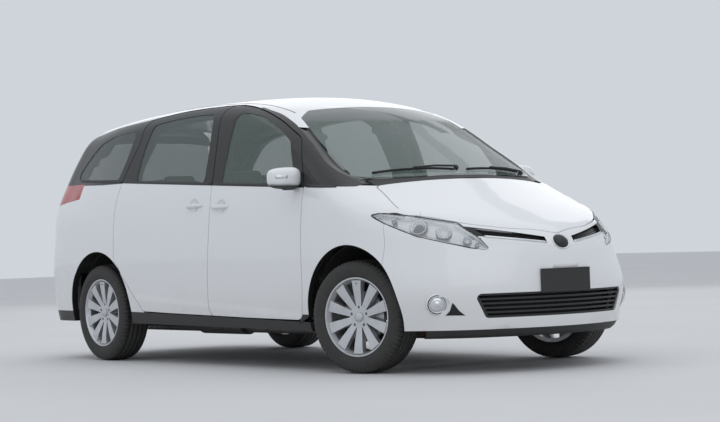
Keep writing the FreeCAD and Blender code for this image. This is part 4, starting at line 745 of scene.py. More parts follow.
# %% Wheel fittings
def wheel_fittings(name):
    place, axis = wheels[name]
    word = name.split("_")[1]
    spin = axis.to_track_quat("Z", "Y").to_matrix()
    body = "wheel_" + name
    face = 0.0735
    turned("wheel_cap_" + name,
           [(face - 0.004, 0.0285), (face + 0.003, 0.0285), (face + 0.005, 0.0270),
            (face + 0.0045, 0.0245), (face + 0.008, 0.0225), (face + 0.0098, 0.014),
            (face + 0.0102, 0.0005)], place, axis, body, "wheel_alloy", 40)
    for i in range(5):
        turn = 2 * math.pi * (i + 0.5) / 5
        spot = place + spin @ Vector((0.057 * math.cos(turn), 0.057 * math.sin(turn), 0))
        turned("wheel_nut_" + str(i) + "_" + name,
               [(0.048, 0.0088), (0.060, 0.0088), (0.0625, 0.0070), (0.0625, 0.0005)],
               spot, axis, body, "iron_parts", 6)
    spot = place + spin @ Vector((0.0, 0.196, 0))
    turned("valve_" + name, [(0.060, 0.0045), (0.082, 0.0040), (0.084, 0.0026), (0.092, 0.0026),
                             (0.0925, 0.0004)], spot, axis, body, "black_trim", 12)
    section = ((-0.026, 0.105), (-0.026, 0.163), (0.0335, 0.163), (0.0335, 0.105), (0.0265, 0.105),
               (0.0265, 0.1525), (-0.0065, 0.1525), (-0.0065, 0.105))
    verts, arcs = [], 15
    for i in range(arcs):
        turn = math.radians(150 + 60 * i / (arcs - 1))
        bow = 1.0 - 0.03 * abs(2 * i / (arcs - 1) - 1) ** 4
        for a, r in section:
            out = Vector((0, 0, 1)) * math.sin(turn)
            along = axis.cross(Vector((0, 0, 1))) * math.cos(turn) * (1 if axis.x > 0 else -1)
            verts.append(place + (out + along) * (r * bow) + axis * a)
    count = len(section)
    faces = grid_faces(arcs, count, True)
    faces += [tuple(range(count)), tuple(range(len(verts) - count, len(verts)))]
    piece("caliper_" + name, verts, faces,
          "knuckle_" + word if name.startswith("front") else "body", "iron_parts", False)


for name in wheels:
    wheel_fittings(name)
print("fittings on", len(wheels), "wheels")

# %% [markdown]
# A clear headlamp shows everything behind its lens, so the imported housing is
# replaced by what is really seen there: a bright tray that follows the lens,
# and reflector bowls turned about the lens normal. A dark seal closes the edge.

# %% Headlamps
lamp_upper = ((0.836, -1.645, 0.928), (0.804, -1.697, 0.938), (0.730, -1.833, 0.921),
              (0.625, -1.981, 0.890), (0.535, -2.069, 0.868), (0.517, -2.132, 0.828),
              (0.474, -2.209, 0.771), (0.444, -2.256, 0.706))
lamp_lower = ((0.836, -1.660, 0.922), (0.822, -1.750, 0.878), (0.788, -1.850, 0.838),
              (0.743, -1.956, 0.796), (0.690, -2.035, 0.772), (0.639, -2.102, 0.752),
              (0.539, -2.195, 0.720), (0.449, -2.255, 0.699))
lamp_way = Vector((-0.55, 0.80, -0.22)).normalized()
bowls = (("indicator", 0.20, 0.50, 0.013), ("main", 0.41, 0.52, 0.045),
         ("dipped", 0.61, 0.52, 0.041), ("side", 0.805, 0.50, 0.022),
         ("marker", 0.89, 0.55, 0.011))
lens_gap, tray_depth = 0.007, 0.034


def along(points, share):
    """Point at a share of the length of a line of points."""
    points = [Vector(p) for p in points]
    runs = [(b - a).length for a, b in zip(points, points[1:])]
    left = share * sum(runs)
    for start, end, run in zip(points, points[1:], runs):
        if left <= run:
            return start.lerp(end, left / run)
        left -= run
    return points[-1]


def on_lens(side, share, across):
    """Place on the lens at a share of its length and of its height."""
    point = along(lamp_upper, share).lerp(along(lamp_lower, share), across)
    point.x *= side
    way = Vector((lamp_way.x * side, lamp_way.y, lamp_way.z))
    hit, normal = touch(("headlamp_lenses",), point - way * 0.3, way)
    if hit is None or (hit - point).length > 0.06:
        hit, normal = point, -way
    return hit, normal


def headlamp(side, word):
    rows, columns = 13, 49
    shares = spread(0.012, 0.988, columns)
    edges = spread(0.03, 0.97, rows)
    verts = []
    for r, across in enumerate(edges):
        for c, share in enumerate(shares):
            hit, normal = on_lens(side, share, across)
            wall = min(r, rows - 1 - r, c, columns - 1 - c)
            depth = tray_depth if wall >= 2 else lens_gap + 0.5 * wall * (tray_depth - lens_gap)
            verts.append(hit - normal * depth)
    tray = piece("headlamp_tray_" + word, verts, grid_faces(rows, columns), "body",
                 "lamp_tray")
    hand(tray, "SOLIDIFY", thickness=0.002, offset=0.0)
    for kind, share, across, radius in bowls:
        hit, axis = on_lens(side, share, across)
        foot = hit - axis * (tray_depth + 0.002)
        deep = tray_depth - lens_gap - 0.001
        turned("headlamp_bowl_" + kind + "_" + word,
               [(0.001, radius * 0.30), (0.003, radius * 0.52), (deep * 0.5, radius * 0.80),
                (deep, radius * 0.97), (deep + 0.001, radius * 1.02), (deep, radius * 1.07),
                (deep * 0.4, radius * 1.02), (0.0, radius * 1.0)],
               foot, axis, "body", "lamp_reflector", 40)
        turned("headlamp_bezel_" + kind + "_" + word,
               [(0.0, radius * 1.14), (deep * 0.8, radius * 1.14), (deep * 0.9, radius * 1.10),
                (deep * 0.86, radius * 1.05), (0.0, radius * 1.05)],
               foot, axis, "body", "black_trim", 40)
        turned("headlamp_glass_" + kind + "_" + word,
               [(0.002, radius * 0.56), (0.010, radius * 0.56), (0.0105, radius * 0.50),
                (0.0145, radius * 0.38), (0.0165, radius * 0.20), (0.0170, radius * 0.01)],
               foot, axis, "body", "gloss_black" if kind == "main" else "lamp_clear", 32)
    rim = [on_lens(side, share, 0.0) for share in spread(0.01, 0.99, 40)]
    rim += [on_lens(side, 0.99, across) for across in (0.35, 0.7)]
    rim += [on_lens(side, share, 1.0) for share in spread(0.99, 0.01, 40)]
    rim.append(rim[0])
    rim = [(hit - normal * 0.001, normal) for hit, normal in rim]
    moulding("headlamp_seal_" + word, rim, 0.0032, 0.0022, "body", "gloss_black")
    return tray


filler_step, filler_sink = Vector((-0.030, 0.045)), 0.0014


def lamp_filler(side, word):
    """Closes the small gap where bonnet, wing and lamp meet, level with the skins round it."""
    known = []
    for x in spread(0.66, 0.80, 15):
        for y in spread(-1.85, -1.69, 17):
            hit, normal = touch(("bonnet", "front_wings"), (side * x, y, 1.6), (0, 0, -1))
            if hit is not None and abs(normal.z) > 0.5 and hit.z > 0.90:
                known.append((hit, normal))
    verts = []
    for share in spread(0.15, 0.40, 13):
        low = along(lamp_upper, share)
        for step in spread(0.0, 1.0, 7):
            x = side * (low.x + filler_step.x * step)
            y = low.y + filler_step.y * step
            total = weight = 0.0
            for hit, normal in known:
                off_x, off_y = x - hit.x, y - hit.y
                near = 1.0 / (off_x ** 2 + off_y ** 2 + 1e-6) ** 2
                total += near * (hit.z - (normal.x * off_x + normal.y * off_y) / normal.z)
                weight += near
            verts.append((x, y, total / weight - filler_sink))
    made = piece("lamp_filler_" + word, verts, grid_faces(13, 7), "body", "body_paint")
    hand(made, "SOLIDIFY", thickness=0.001, offset=0.0)


mirror_pieces(lamp_filler)
lamps = mirror_pieces(headlamp)
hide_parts("headlamps")
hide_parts("headlamps")
print("headlamps with", len(bowls), "bowls each")

# %% [markdown]
# The grille is a white blade with a narrow dark slot on each side of a plain
# oval boss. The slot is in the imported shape, so only its bright lower bar and
# its fine mesh are added. The boss is left bare inside a bright ring.

# %% Grille and boss
slot_start, slot_end = 0.108, 0.452


def slot_low(x):
    return 0.7376 + (x - 0.1035) * 0.1296


def slot_high(x):
    return 0.770 + (x - 0.1035) * 0.1763


def grille_bar(side, word):
    places = []
    for x in spread(slot_start, slot_end, 22):
        hit, normal = touch(front_skin, (side * x, -3.0, slot_low(x) - 0.005), (0, 1, 0))
        places.append((hit + Vector((0, 0, 0.007)) - normal * 0.002, normal))
    moulding("grille_bar_" + word, places, 0.0065, 0.0045, "body", "lamp_reflector", 0.012)
    for row, share in enumerate((0.42, 0.66, 0.9)):
        places = []
        for x in spread(slot_start + 0.01, slot_end - 0.01, 16):
            z = slot_low(x) + (slot_high(x) - slot_low(x)) * share
            hit, normal = touch(("grille",), (side * x, -3.0, z), (0, 1, 0))
            if hit is not None:
                places.append((hit + Vector((0, -0.006, 0)), Vector((0, -1, 0))))
        moulding("grille_rib_" + str(row) + "_" + word, places, 0.0018, 0.002, "body",
                 "gloss_black", 0.008)


mirror_pieces(grille_bar)
boss_half, boss_tall, boss_z = 0.066, 0.046, 0.742


def boss(name, profile, finish):
    """Oval boss on the nose, from (share of its size, height off the skin) points."""
    verts, sides = [], 48
    for share, lift in profile:
        for i in range(sides):
            turn = 2 * math.pi * i / sides
            x, z = boss_half * share * math.cos(turn), boss_tall * share * math.sin(turn)
            hit, _ = touch(front_skin, (x, -3.0, boss_z + z), (0, 1, 0))
            verts.append(hit + Vector((0, -lift, 0)))
    rows = len(profile)
    faces = grid_faces(rows, sides, True) + [tuple(range((rows - 1) * sides, rows * sides))]
    piece(name, verts, faces, "body", finish)


boss("nose_ring", [(1.0, -0.004), (1.0, 0.003), (0.95, 0.0055), (0.88, 0.0055), (0.83, 0.002)],
     "lamp_reflector")
boss("nose_disc", [(0.84, 0.001), (0.80, 0.0035), (0.5, 0.005), (0.05, 0.0055)], "gloss_black")
print("grille bars and boss")

# %% [markdown]
# Low on the bumper sit round fog lamps in bright rings, a small black cut-out
# beside each, a bare dark plate on its base, and a black chin underneath.

# %% Bumper fittings
fog_x, fog_z, fog_radius = 0.7164, 0.40425, 0.044


fog_rim, fog_inner = 0.066, 0.052


def fog(side, word):
    hit, normal = touch(("fog_lamps",), (side * fog_x, -3.0, fog_z), (0, 1, 0))
    axis = Vector((normal.x * 0.8, -1, normal.z)).normalized()
    spin = axis.to_track_quat("Z", "Y").to_matrix()
    face = hit + normal * 0.0075
    rim, verts, sides = [], [], 48
    for i in range(sides):
        turn = 2 * math.pi * i / sides
        spot = face + spin @ Vector((fog_rim * math.cos(turn), fog_rim * math.sin(turn), 0))
        found, out = touch(("front_bumper",), spot + axis * 0.1, -axis)
        rim.append(found if found else spot)
    for size in (1.0, 0.86, 0.72, 0.60, 0.56):
        for i in range(sides):
            turn = 2 * math.pi * i / sides
            inner = face + spin @ Vector((fog_inner * math.cos(turn),
                                          fog_inner * math.sin(turn), 0.0))
            verts.append(inner.lerp(rim[i], (size - 0.56) / 0.44))
    surround = piece("fog_surround_" + word, verts, grid_faces(5, sides, True), "body",
                     "body_paint")
    hand(surround, "SOLIDIFY", thickness=0.002, offset=-1.0)
    foot = face - axis * 0.006
    turned("fog_ring_" + word, [(0.0, 0.0500), (0.009, 0.0500), (0.012, 0.0480), (0.011, 0.0440),
                                (0.006, 0.0425), (0.004, 0.0425)], foot, axis, "body",
           "lamp_reflector")
    turned("fog_gap_" + word, [(0.0, 0.0545), (0.0072, 0.0545), (0.0080, 0.0525),
                               (0.0066, 0.0500), (0.0, 0.0500)], foot, axis, "body",
           "gloss_black")
    turned("fog_bowl_" + word, [(0.003, 0.0430), (0.0075, 0.0410), (0.0060, 0.024),
                                (0.0105, 0.0150), (0.0135, 0.008), (0.0140, 0.0005)],
           foot, axis, "body", "lamp_reflector")
    verts, rows = [], 7
    low_in, low_out, top = Vector((0.600, 0.338)), Vector((0.684, 0.340)), Vector((0.662, 0.412))
    for i in range(rows):
        share = i / (rows - 1)
        pinch = 0.14 * math.sin(math.pi * share)
        inner = low_in.lerp(top, share).lerp(low_out.lerp(top, share), pinch)
        outer = low_out.lerp(top, share).lerp(low_in.lerp(top, share), pinch)
        for k in range(7):
            spot = inner.lerp(outer, k / 6)
            hit, normal = touch(("front_bumper",), (side * spot.x, -3.0, spot.y), (0, 1, 0))
            verts.append(hit + normal * 0.0012)
    made = piece("fog_insert_" + word, verts, grid_faces(rows, 7), "body", "gloss_black")
    hand(made, "SOLIDIFY", thickness=0.003, offset=-1.0)


mirror_pieces(fog)


def plate(name, x_half, z_half, place, face, body):
    """Blank plate with a raised edge on a slim base."""
    ring = [(-1, -1), (1, -1), (1, 1), (-1, 1)]
    levels = ((1.0, 1.0, -0.010), (1.0, 1.0, 0.0), (0.985, 0.96, 0.0012), (0.965, 0.91, 0.0),
              (0.96, 0.90, -0.0006))
    verts = []
    for sx, sz, lift in levels:
        verts += [(place[0] + x_half * sx * a, place[1] + face * lift, place[2] + z_half * sz * b)
                  for a, b in ring]
    faces = grid_faces(len(levels), 4, True) + [(0, 1, 2, 3), tuple(range(16, 20))]
    return piece(name, verts, faces, body, "black_trim", False)


plate_half, plate_tall, plate_z = 0.186, 0.067, 0.521
plate_y = frame_low[1] + 0.0016
pocket_y = plate_y + 0.0075


def bumper_with_pocket():
    """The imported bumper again, with a flat seat for the plate let into its skin."""
    skin = bpy.data.objects.new("bumper_skin", nodes["front_bumper"].data.copy())
    bpy.context.scene.collection.objects.link(skin)
    welded = bmesh.new()
    welded.from_mesh(skin.data)
    bmesh.ops.remove_doubles(welded, verts=welded.verts, dist=0.00001)
    welded.to_mesh(skin.data)
    welded.free()
    x, z, y = plate_half + 0.004, plate_tall + 0.004, frame_low[1] - 0.1
    corners = [(a * x, b, plate_z + c * z) for b in (y, pocket_y) for c in (-1, 1) for a in (-1, 1)]
    cutter = bpy.data.meshes.new("cutter")
    cutter.from_pydata(corners, [], [(0, 1, 3, 2), (4, 6, 7, 5), (0, 4, 5, 1), (2, 3, 7, 6),
                                     (0, 2, 6, 4), (1, 5, 7, 3)])
    tool = bpy.data.objects.new("cutter", cutter)
    bpy.context.scene.collection.objects.link(tool)
    count = len(skin.data.polygons)
    hand(skin, "BOOLEAN", operation="DIFFERENCE", object=tool, solver="EXACT")
    bpy.data.objects.remove(tool)
    print("bumper faces", count, "to", len(skin.data.polygons))
    for face in skin.data.polygons:
        face.use_smooth = True
    skin.data.set_sharp_from_angle(angle=math.radians(28))
    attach(skin, "body")
    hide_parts("front_bumper")
    return skin


bumper_with_pocket()
plate("front_plate", plate_half, plate_tall, (0.0, plate_y, plate_z), -1, "body")

radiator_half, radiator_low, radiator_high, radiator_y, fin_depth = 0.50, 0.30, 0.50, -2.150, 0.006


def radiator():
    """Folded fins behind the lower grille, so that it doesn't open on the frame."""
    folds = 160
    verts = []
    for i, x in enumerate(spread(-radiator_half, radiator_half, folds)):
        y = radiator_y - (fin_depth if i % 2 else 0.0)
        verts += [(x, y, radiator_low), (x, y, radiator_high)]
    faces = [(2 * i, 2 * i + 2, 2 * i + 3, 2 * i + 1) for i in range(folds - 1)]
    made = piece("radiator_fins", verts, faces, "body", "black_trim", False)
    hand(made, "SOLIDIFY", thickness=0.0015, offset=0.0)


radiator()
chin_low, chin_high = 0.205, 0.262


def chin():
    places = []
    for x in spread(-0.74, 0.74, 61):
        hit, _ = touch(("front_bumper",), (x, -3.0, 0.285), (0, 1, 0))
        places.append(hit)
    verts = []
    for drop, back in ((0.0, 0.018), (0.35, 0.022), (0.7, 0.034), (1.0, 0.060)):
        for spot in places:
            verts.append((spot.x * (1 - 0.03 * drop), spot.y + back,
                          chin_high + (chin_low - chin_high) * drop))
    made = piece("chin_spoiler", verts, grid_faces(4, len(places)), "body", "black_trim")
    hand(made, "SOLIDIFY", thickness=0.004)


chin()
print("fog lamps, plate at", round(plate_y, 4), "and chin")

# %% [markdown]
# The roof has a joint line down each side, and the glass ahead of it carries
# two wipers. The arms lie just off the glass, on the black cowl below it.

# %% Roof lines and wipers
def roof_line(side, word):
    line = [(side * x, y, 2.0) for x, y in ((0.560, -0.52), (0.566, 0.2), (0.560, 1.0),
                                           (0.545, 1.62))]
    places = lay(("roof_panel",), fine(line, 0.05), (0, 0, -1))
    if len(places) > 3:
        moulding("roof_ditch_" + word, places, 0.0045, 0.0010, "body", "black_trim")


mirror_pieces(roof_line)


def wiper(name, pivot, tip_low, tip_high):
    down = (0, 0.35, -1)
    blade = lay(("windscreen",), fine([tip_low, tip_high], 0.05), down)
    blade = [(p + n * 0.010, n) for p, n in blade]
    moulding(name + "_blade", blade, 0.0045, 0.006, "body", "black_trim", 0.007)
    hit, normal = touch(("windscreen", "cowl"), Vector(pivot) + Vector((0, -0.1, 0.4)), down)
    middle = blade[len(blade) // 2]
    arm = [hit + normal * 0.004, hit + normal * 0.018,
           hit.lerp(middle[0], 0.5) + normal * 0.020, middle[0] + middle[1] * 0.008]
    tube(name + "_arm", fine(arm, 0.03), 0.0065, "body", "black_trim", 10)
    turned(name + "_pivot", [(-0.006, 0.015), (0.012, 0.015), (0.018, 0.011), (0.019, 0.001)],
           hit, normal, "body", "black_trim", 24)


wiper("wiper_right", (-0.02, -1.46, 1.13), (-0.06, -1.455, 1.15), (-0.585, -1.335, 1.16))
wiper("wiper_left", (0.56, -1.40, 1.13), (0.52, -1.375, 1.15), (0.04, -1.458, 1.15))
print("roof lines and wipers")

# %% [markdown]
# A seat is foam under stretched cloth. One cushion, one back and one head
# restraint are made as slightly small blocks, inflated by the cloth solver,
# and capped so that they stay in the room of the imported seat. Sewn channels
# are pressed in afterwards, because the remesh would remove them. The rows
# then share these pads at their own widths and depths.

# %% Seat pads
voxel = 0.014
steps = 20
scene = bpy.context.scene


def pad_block(name, size, corner):
    made = bmesh.new()
    bmesh.ops.create_cube(made, size=1.0)
    bmesh.ops.scale(made, vec=size, verts=made.verts)
    bmesh.ops.bevel(made, geom=made.edges[:], offset=corner, segments=3, profile=0.55,
                    affect="EDGES")
    mesh = bpy.data.meshes.new(name)
    made.to_mesh(mesh)
    made.free()
    obj = bpy.data.objects.new(name, mesh)
    scene.collection.objects.link(obj)
    return hand(obj, "REMESH", mode="VOXEL", voxel_size=voxel)


def swell(obj, cap):
    """Inflates a pad with the cloth solver; no point moves further than the cap."""
    rest = [v.co.copy() for v in obj.data.vertices]
    cloth = obj.modifiers.new("cloth", "CLOTH")
    cloth.settings.use_pressure = True
    cloth.settings.uniform_pressure_force = 4.0
    cloth.settings.effector_weights.gravity = 0.0
    cloth.point_cache.frame_start = 1
    cloth.point_cache.frame_end = steps
    for step in range(1, steps + 1):
        scene.frame_set(step)
    held = obj.evaluated_get(bpy.context.evaluated_depsgraph_get()).to_mesh()
    moved = [v.co.copy() for v in held.vertices]
    obj.modifiers.remove(cloth)
    scene.frame_set(1)
    for vert, start, end in zip(obj.data.vertices, rest, moved):
        push = end - start
        if push.length > cap:
            push = push.normalized() * cap
        vert.co = start + push
    return hand(obj, "SUBSURF", levels=1)


def sew(obj, face, lines, depth=0.010, width=0.007):
    """Presses channels into the face that looks along an axis: (axis, place) lines."""
    axis, way = face
    for vert in obj.data.vertices:
        if vert.normal[axis] * way < 0.35:
            continue
        press = max(math.exp(-((vert.co[a] - place) / width) ** 2) for a, place in lines)
        vert.co[axis] -= way * depth * press
    return obj


cushion = swell(pad_block("cushion_form", (0.46, 0.47, 0.12), 0.045), 0.020)
sew(cushion, (2, 1), ((0, -0.145), (0, 0.145), (1, 0.02)))
back = swell(pad_block("back_form", (0.45, 0.085, 0.52), 0.036), 0.018)
sew(back, (1, -1), ((0, -0.14), (0, 0.14), (2, 0.10), (2, -0.08)))
rest_pad = swell(pad_block("rest_form", (0.25, 0.070, 0.150), 0.030), 0.012)
forms = {"cushion": cushion, "back": back, "rest": rest_pad}
print("pad forms", {key: len(form.data.vertices) for key, form in forms.items()})

# %% [markdown]
# Each seat is put together from the three forms, two bright posts under the
# head restraint, and a plain valance over its rails.

# %% Seats in three rows
seat_z, seat_tall = 0.53, 0.56
seat_rows = (
    ("front", (-0.370, 0.370), -0.2915, 0.50, 0.52, "front_seats"),
    ("middle", (-0.370, 0.370), 0.5935, 0.47, 0.48, "middle_seats"),
    ("rear", (-0.308, 0.0, 0.308), 1.552, 0.30, 0.47, "rear_seats"))
seat_tilt = math.radians(9.6)
form_width, form_depth = 0.50, 0.52


def put(form, name, scale, place, tilt):
    mesh = forms[form].data.copy()
    mesh.transform(Matrix.Translation(Vector(place)) @ Matrix.Rotation(tilt, 4, "X")
                   @ Matrix.Diagonal(Vector((*scale, 1.0))))
    obj = bpy.data.objects.new(name, mesh)
    scene.collection.objects.link(obj)
    mesh.materials.append(finishes["seat_fabric"])
    for face in mesh.polygons:
        face.use_smooth = True
    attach(obj, "body")
    return obj


for row, centres, start, width, depth, node in seat_rows:
    for i, x in enumerate(centres):
        wide, deep = width / form_width, depth / form_depth
        word = row + "_" + str(i)
        seat = put("cushion", "seat_cushion_" + word, (wide, deep, 1.0),
                   (x, start + 0.51 * depth, seat_z + 0.135), math.radians(-2.0))
        put("back", "seat_back_" + word, (wide, deep, 1.0),
            (x, start + 1.155 * depth, seat_z + 0.60 * seat_tall), -seat_tilt)
        put("rest", "seat_rest_" + word, (min(1.0, wide * 1.08), deep, 1.0),
            (x, start + 1.25 * depth, seat_z + 1.195 * seat_tall), -seat_tilt)
        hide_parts(node)
        for k in (-1, 1):
            foot = Vector((x + k * 0.055 * wide, start + 1.215 * depth, seat_z + 0.96 * seat_tall))
            tube("seat_post_" + str(k + 1) + "_" + word,
                 [foot, foot + Vector((0, 0.010, 0.085))], 0.0055, "body", "lamp_reflector", 12)
        half, top = 0.42 * width, seat_z + 0.085
        front, rear = start + 0.10 * depth, start + 0.94 * depth
        verts = [(x + a * half * s, y, z) for s, z in ((1.0, 0.385), (1.0, seat_z), (0.92, top))
                 for a, y in ((-1, front), (1, front), (1, rear), (-1, rear))]
        valance = piece("seat_valance_" + word, verts,
                        grid_faces(3, 4, True) + [(0, 1, 2, 3), (8, 9, 10, 11)],
                        "body", "dash_plastic", False)
        hand(valance, "BEVEL", width=0.012, segments=2)
for form in forms.values():
    bpy.data.objects.remove(form)
print("seats", sum(len(row[1]) for row in seat_rows))

# %% [markdown]
# Through the screen the dashboard shows its instrument hood, its vents and the
# mirror above it. These are small, but an empty dashboard would look unreal.

# %% Cabin fittings
def hood(name, x, y, z, half, deep, tall):
    verts, arcs, rows = [], 17, 5
    for r in range(rows):
        share = r / (rows - 1)
        for i in range(arcs):
            turn = math.pi * i / (arcs - 1)
            size = 1.0 - 0.25 * share
            verts.append((x + half * size * math.cos(turn), y - deep * share,
                          z + tall * size * math.sin(turn) ** 0.7))
    made = piece(name, verts, grid_faces(rows, arcs), "body", "dash_plastic")
    hand(made, "SOLIDIFY", thickness=0.010, offset=1.0)


dash_top = 1.045
hood("instrument_hood", -0.370, -0.70, 1.030, 0.150, 0.13, 0.045)
for i, x in enumerate((-0.66, -0.12, 0.12, 0.66)):
    hit, normal = touch(("dashboard",), (x, 0.0, 0.965), (0, -1, 0))
    if hit is None:
        continue
    for k in range(4):
        z = hit.z - 0.024 + 0.016 * k
        line = [touch(("dashboard",), (x + dx, 0.0, z), (0, -1, 0)) for dx in (-0.05, 0.0, 0.05)]
        line = [spot for spot in line if spot[0] is not None]
        if len(line) > 1:
            moulding("vent_" + str(i) + "_" + str(k), line, 0.004, 0.006, "body", "gloss_black")
hit, normal = touch(("dashboard",), (0.0, 0.0, 0.88), (0, -1, 0))
if hit is not None:
    moulding("radio_panel", [(hit + Vector((dx, 0, 0)), normal) for dx in (-0.09, 0.0, 0.09)],
             0.042, 0.004, "body", "gloss_black")

hit, normal = touch(("windscreen",), (0.0, -0.80, 2.0), (0, 0, -1))
stalk = hit + Vector((0, 0.012, -0.012))
head = stalk + Vector((0, 0.055, -0.050))
tube("cabin_mirror_stalk", fine([stalk, head], 0.02), 0.009, "body", "black_trim", 12)
verts, rows, sides = [], 9, 32
for r in range(rows):
    share = -1 + 2 * r / (rows - 1)
    size = math.sqrt(max(0.0, 1 - 0.6 * share * share)) if abs(share) < 1 else 0.55
    for i in range(sides):
        angle = 2 * math.pi * i / sides
        c, s = math.cos(angle), math.sin(angle)
        verts.append(head + Vector((
            0.118 * size * math.copysign(abs(c) ** 0.6, c), 0.013 * share,
            0.034 * size * math.copysign(abs(s) ** 0.6, s))))
cabin_mirror = piece("cabin_mirror", verts, grid_faces(rows, sides, True)
                     + [tuple(range(sides)), tuple(range(len(verts) - sides, len(verts)))],
                     "body", "black_trim")
print("cabin mirror at", [round(v, 3) for v in head])

# %% [markdown]
# The back of the vehicle isn't in the picture. It gets only what such a body
# always has: a trim bar over a blank plate, a wiper, a high brake lamp, and
# reflectors low in the bumper.

# %% Tailgate fittings
def rear_places(names, line, step=0.03):
    return lay(names, fine([(x, 2.6, z) for x, z in line], step), (0, -1, 0), 0.4)


gate = ("tailgate",)
bar_line = rear_places(gate, ((-0.30, 0.985), (0.30, 0.985)))
moulding("tailgate_bar", bar_line, 0.017, 0.010, "tailgate", "lamp_reflector")
plate_spot = touch(gate, (0, 3.0, 0.900), (0, -1, 0))[0]
plate("rear_plate", 0.186, 0.067, (0.0, min(plate_spot.y + 0.010, frame_high[1] - 0.002), 0.895),
      1, "tailgate")
glass_line = rear_places(("tailgate_glass",), ((-0.02, 1.262), (0.36, 1.300)))
moulding("rear_wiper_blade", [(p + n * 0.008, n) for p, n in glass_line], 0.0045, 0.005,
         "tailgate", "black_trim", 0.007)
hit, normal = touch(("tailgate_glass", "tailgate"), (0.0, 3.0, 1.235), (0, -1, 0))
turned("rear_wiper_pivot", [(-0.002, 0.020), (0.012, 0.018), (0.018, 0.012), (0.019, 0.001)],
       hit, normal, "tailgate", "black_trim", 28)
tube("rear_wiper_arm", fine([hit + normal * 0.010, glass_line[len(glass_line) // 2][0]
                             + normal * 0.014], 0.03), 0.006, "tailgate", "black_trim", 10)
lamp_line = rear_places(("tailgate", "tailgate_glass"), ((-0.13, 1.575), (0.13, 1.575)))
moulding("high_brake_lamp", lamp_line, 0.011, 0.006, "tailgate", "lamp_red")


def reflector(side, word):
    line = rear_places(("rear_bumper",), ((side * 0.56, 0.43), (side * 0.70, 0.43)))
    moulding("bumper_reflector_" + word, line, 0.014, 0.005, "body", "lamp_red")


mirror_pieces(reflector)
gate_gap, pillar_x = 0.009, 0.655
corner_low, corner_high, corner_rows, behind_gate = 1.30, 1.56, 14, 0.008


def rear_corner(side, word):
    """Dark panel from the rear pillar to the tailgate's edge, flush with both."""
    verts, rows = [], 0
    for z in spread(corner_low, corner_high, corner_rows):
        edge = next((x for x in spread(pillar_x, 0.40, 86)
                     if touch(gate, (side * x, 3.0, z), (0, -1, 0))[0]), None)
        outer, _ = touch(("window_pillars",), (side * (pillar_x + 0.007), 3.0, z), (0, -1, 0))
        if edge is None or outer is None or edge + gate_gap > pillar_x - 0.005:
            continue
        rim, _ = touch(gate, (side * (edge - 0.002), 3.0, z), (0, -1, 0))
        inner = Vector((side * (edge + gate_gap), rim.y - behind_gate, z))
        outer -= Vector((0, 0.002, 0))
        verts += [outer.lerp(inner, share) for share in spread(0.0, 1.0, 5)]
        rows += 1
    panel = piece("rear_corner_" + word, verts, grid_faces(rows, 5), "body", "gloss_black")
    hand(panel, "SOLIDIFY", thickness=0.003, offset=0.0)
    return rows


print("rear corner rows", mirror_pieces(rear_corner))
print("tailgate fittings made")

# %% [markdown]
# The camera stands low, ahead and to the right of the vehicle, with a long
# lens. Its place and angles were worked out from known points of the body, so
# they are stated as they came: place, yaw, pitch and roll, and the lens.

# %% Camera
camera_place = Vector((-8.313, -11.619, 0.802))
yaw, pitch, roll = math.radians(36.585), math.radians(0.7015), math.radians(-1.886)
ahead = Vector((math.sin(yaw) * math.cos(pitch), math.cos(yaw) * math.cos(pitch), math.sin(pitch)))
level_right = Vector((math.cos(yaw), -math.sin(yaw), 0.0))
level_up = level_right.cross(ahead)
right = level_right * math.cos(roll) + level_up * math.sin(roll)
up = level_up * math.cos(roll) - level_right * math.sin(roll)
lens = bpy.data.cameras.new("view")
lens.sensor_width = 36.0
lens.lens = 106.91
lens.clip_end = 200.0
camera = bpy.data.objects.new("view", lens)
bpy.context.scene.collection.objects.link(camera)
turn = Matrix((right, up, -ahead)).transposed().to_4x4()
camera.matrix_world = Matrix.Translation(camera_place) @ turn
bpy.context.scene.camera = camera
print("camera at", [round(v, 2) for v in camera_place])

# %% [markdown]
# A pale floor and large soft lights stand in for an overcast sky, which is
# what the photograph was taken under. The broad top light gives the long
# highlights along the bonnet and roof, and a weak one behind lifts the glass.

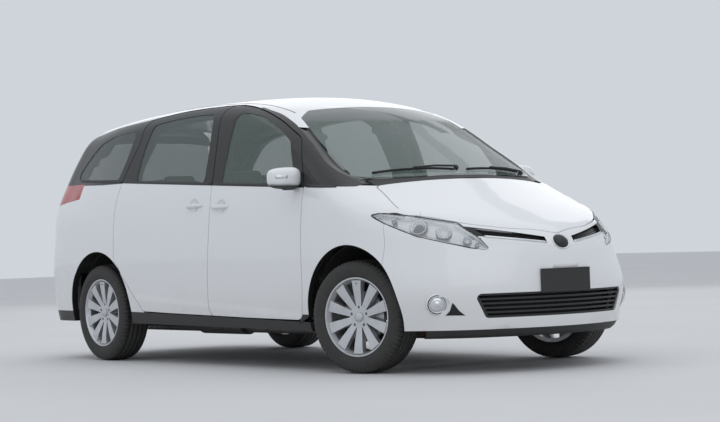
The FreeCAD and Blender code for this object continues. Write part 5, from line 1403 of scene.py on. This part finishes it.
# %% Floor and light
floor_net = Net("pale_floor")
floor_stain = floor_net.noise(0.6, 4.0)
floor_fine = floor_net.noise(60.0, 4.0)
floor_finish = floor_net.set(
    Base_Color=floor_net.blend(floor_stain, grey(0.62), grey(0.70)),
    Roughness=floor_stain * 0.1 + 0.75, Normal=floor_net.bump(floor_fine, 0.1, 0.002))
floor_half = 40.0
floor_mesh = bpy.data.meshes.new("floor")
floor_mesh.from_pydata(
    [(-floor_half, -floor_half, 0), (floor_half, -floor_half, 0),
     (floor_half, floor_half, 0), (-floor_half, floor_half, 0)], [], [(0, 1, 2, 3)])
floor_mesh.materials.append(floor_finish)
floor = bpy.data.objects.new("floor", floor_mesh)
bpy.context.scene.collection.objects.link(floor)

world = bpy.data.worlds.new("studio")
bpy.context.scene.world = world
world.use_nodes = True
sky = world.node_tree.nodes["Background"]
sky.inputs["Color"].default_value = (0.80, 0.84, 0.90, 1)
sky.inputs["Strength"].default_value = 0.80
links, makers = world.node_tree.links, world.node_tree.nodes
backdrop = makers.new("ShaderNodeBackground")
backdrop.inputs["Color"].default_value = (0.62, 0.66, 0.70, 1)
backdrop.inputs["Strength"].default_value = 1.0
rays = makers.new("ShaderNodeLightPath")
seen = makers.new("ShaderNodeMath")
seen.operation = "MAXIMUM"
links.new(rays.outputs["Is Camera Ray"], seen.inputs[0])
links.new(rays.outputs["Is Transmission Ray"], seen.inputs[1])
mixer = makers.new("ShaderNodeMixShader")
links.new(seen.outputs[0], mixer.inputs[0])
links.new(sky.outputs[0], mixer.inputs[1])
links.new(backdrop.outputs[0], mixer.inputs[2])
links.new(mixer.outputs[0], makers["World Output"].inputs["Surface"])


def soft_light(name, place, aim, size, power):
    data = bpy.data.lights.new(name, "AREA")
    data.shape = "RECTANGLE"
    data.size, data.size_y = size
    data.energy = power
    lamp = bpy.data.objects.new(name, data)
    bpy.context.scene.collection.objects.link(lamp)
    lamp.location = place
    lamp.rotation_euler = (Vector(aim) - Vector(place)).to_track_quat("-Z", "Y").to_euler()
    return lamp


soft_light("sky", (0, 0, 9.0), (0, 0, 0), (16, 18), 300)
soft_light("front_fill", (-6, -14, 7), (0, -1, 0.8), (14, 8), 170)
soft_light("back_fill", (9, 10, 6), (0, 1, 1.0), (12, 8), 150)
bpy.context.scene.view_settings.view_transform = "Standard"
print("lights", len(bpy.data.lights))

# %% [markdown]
# Nothing more is added, and the scene is complete.

# %% Finish
print("scene complete")
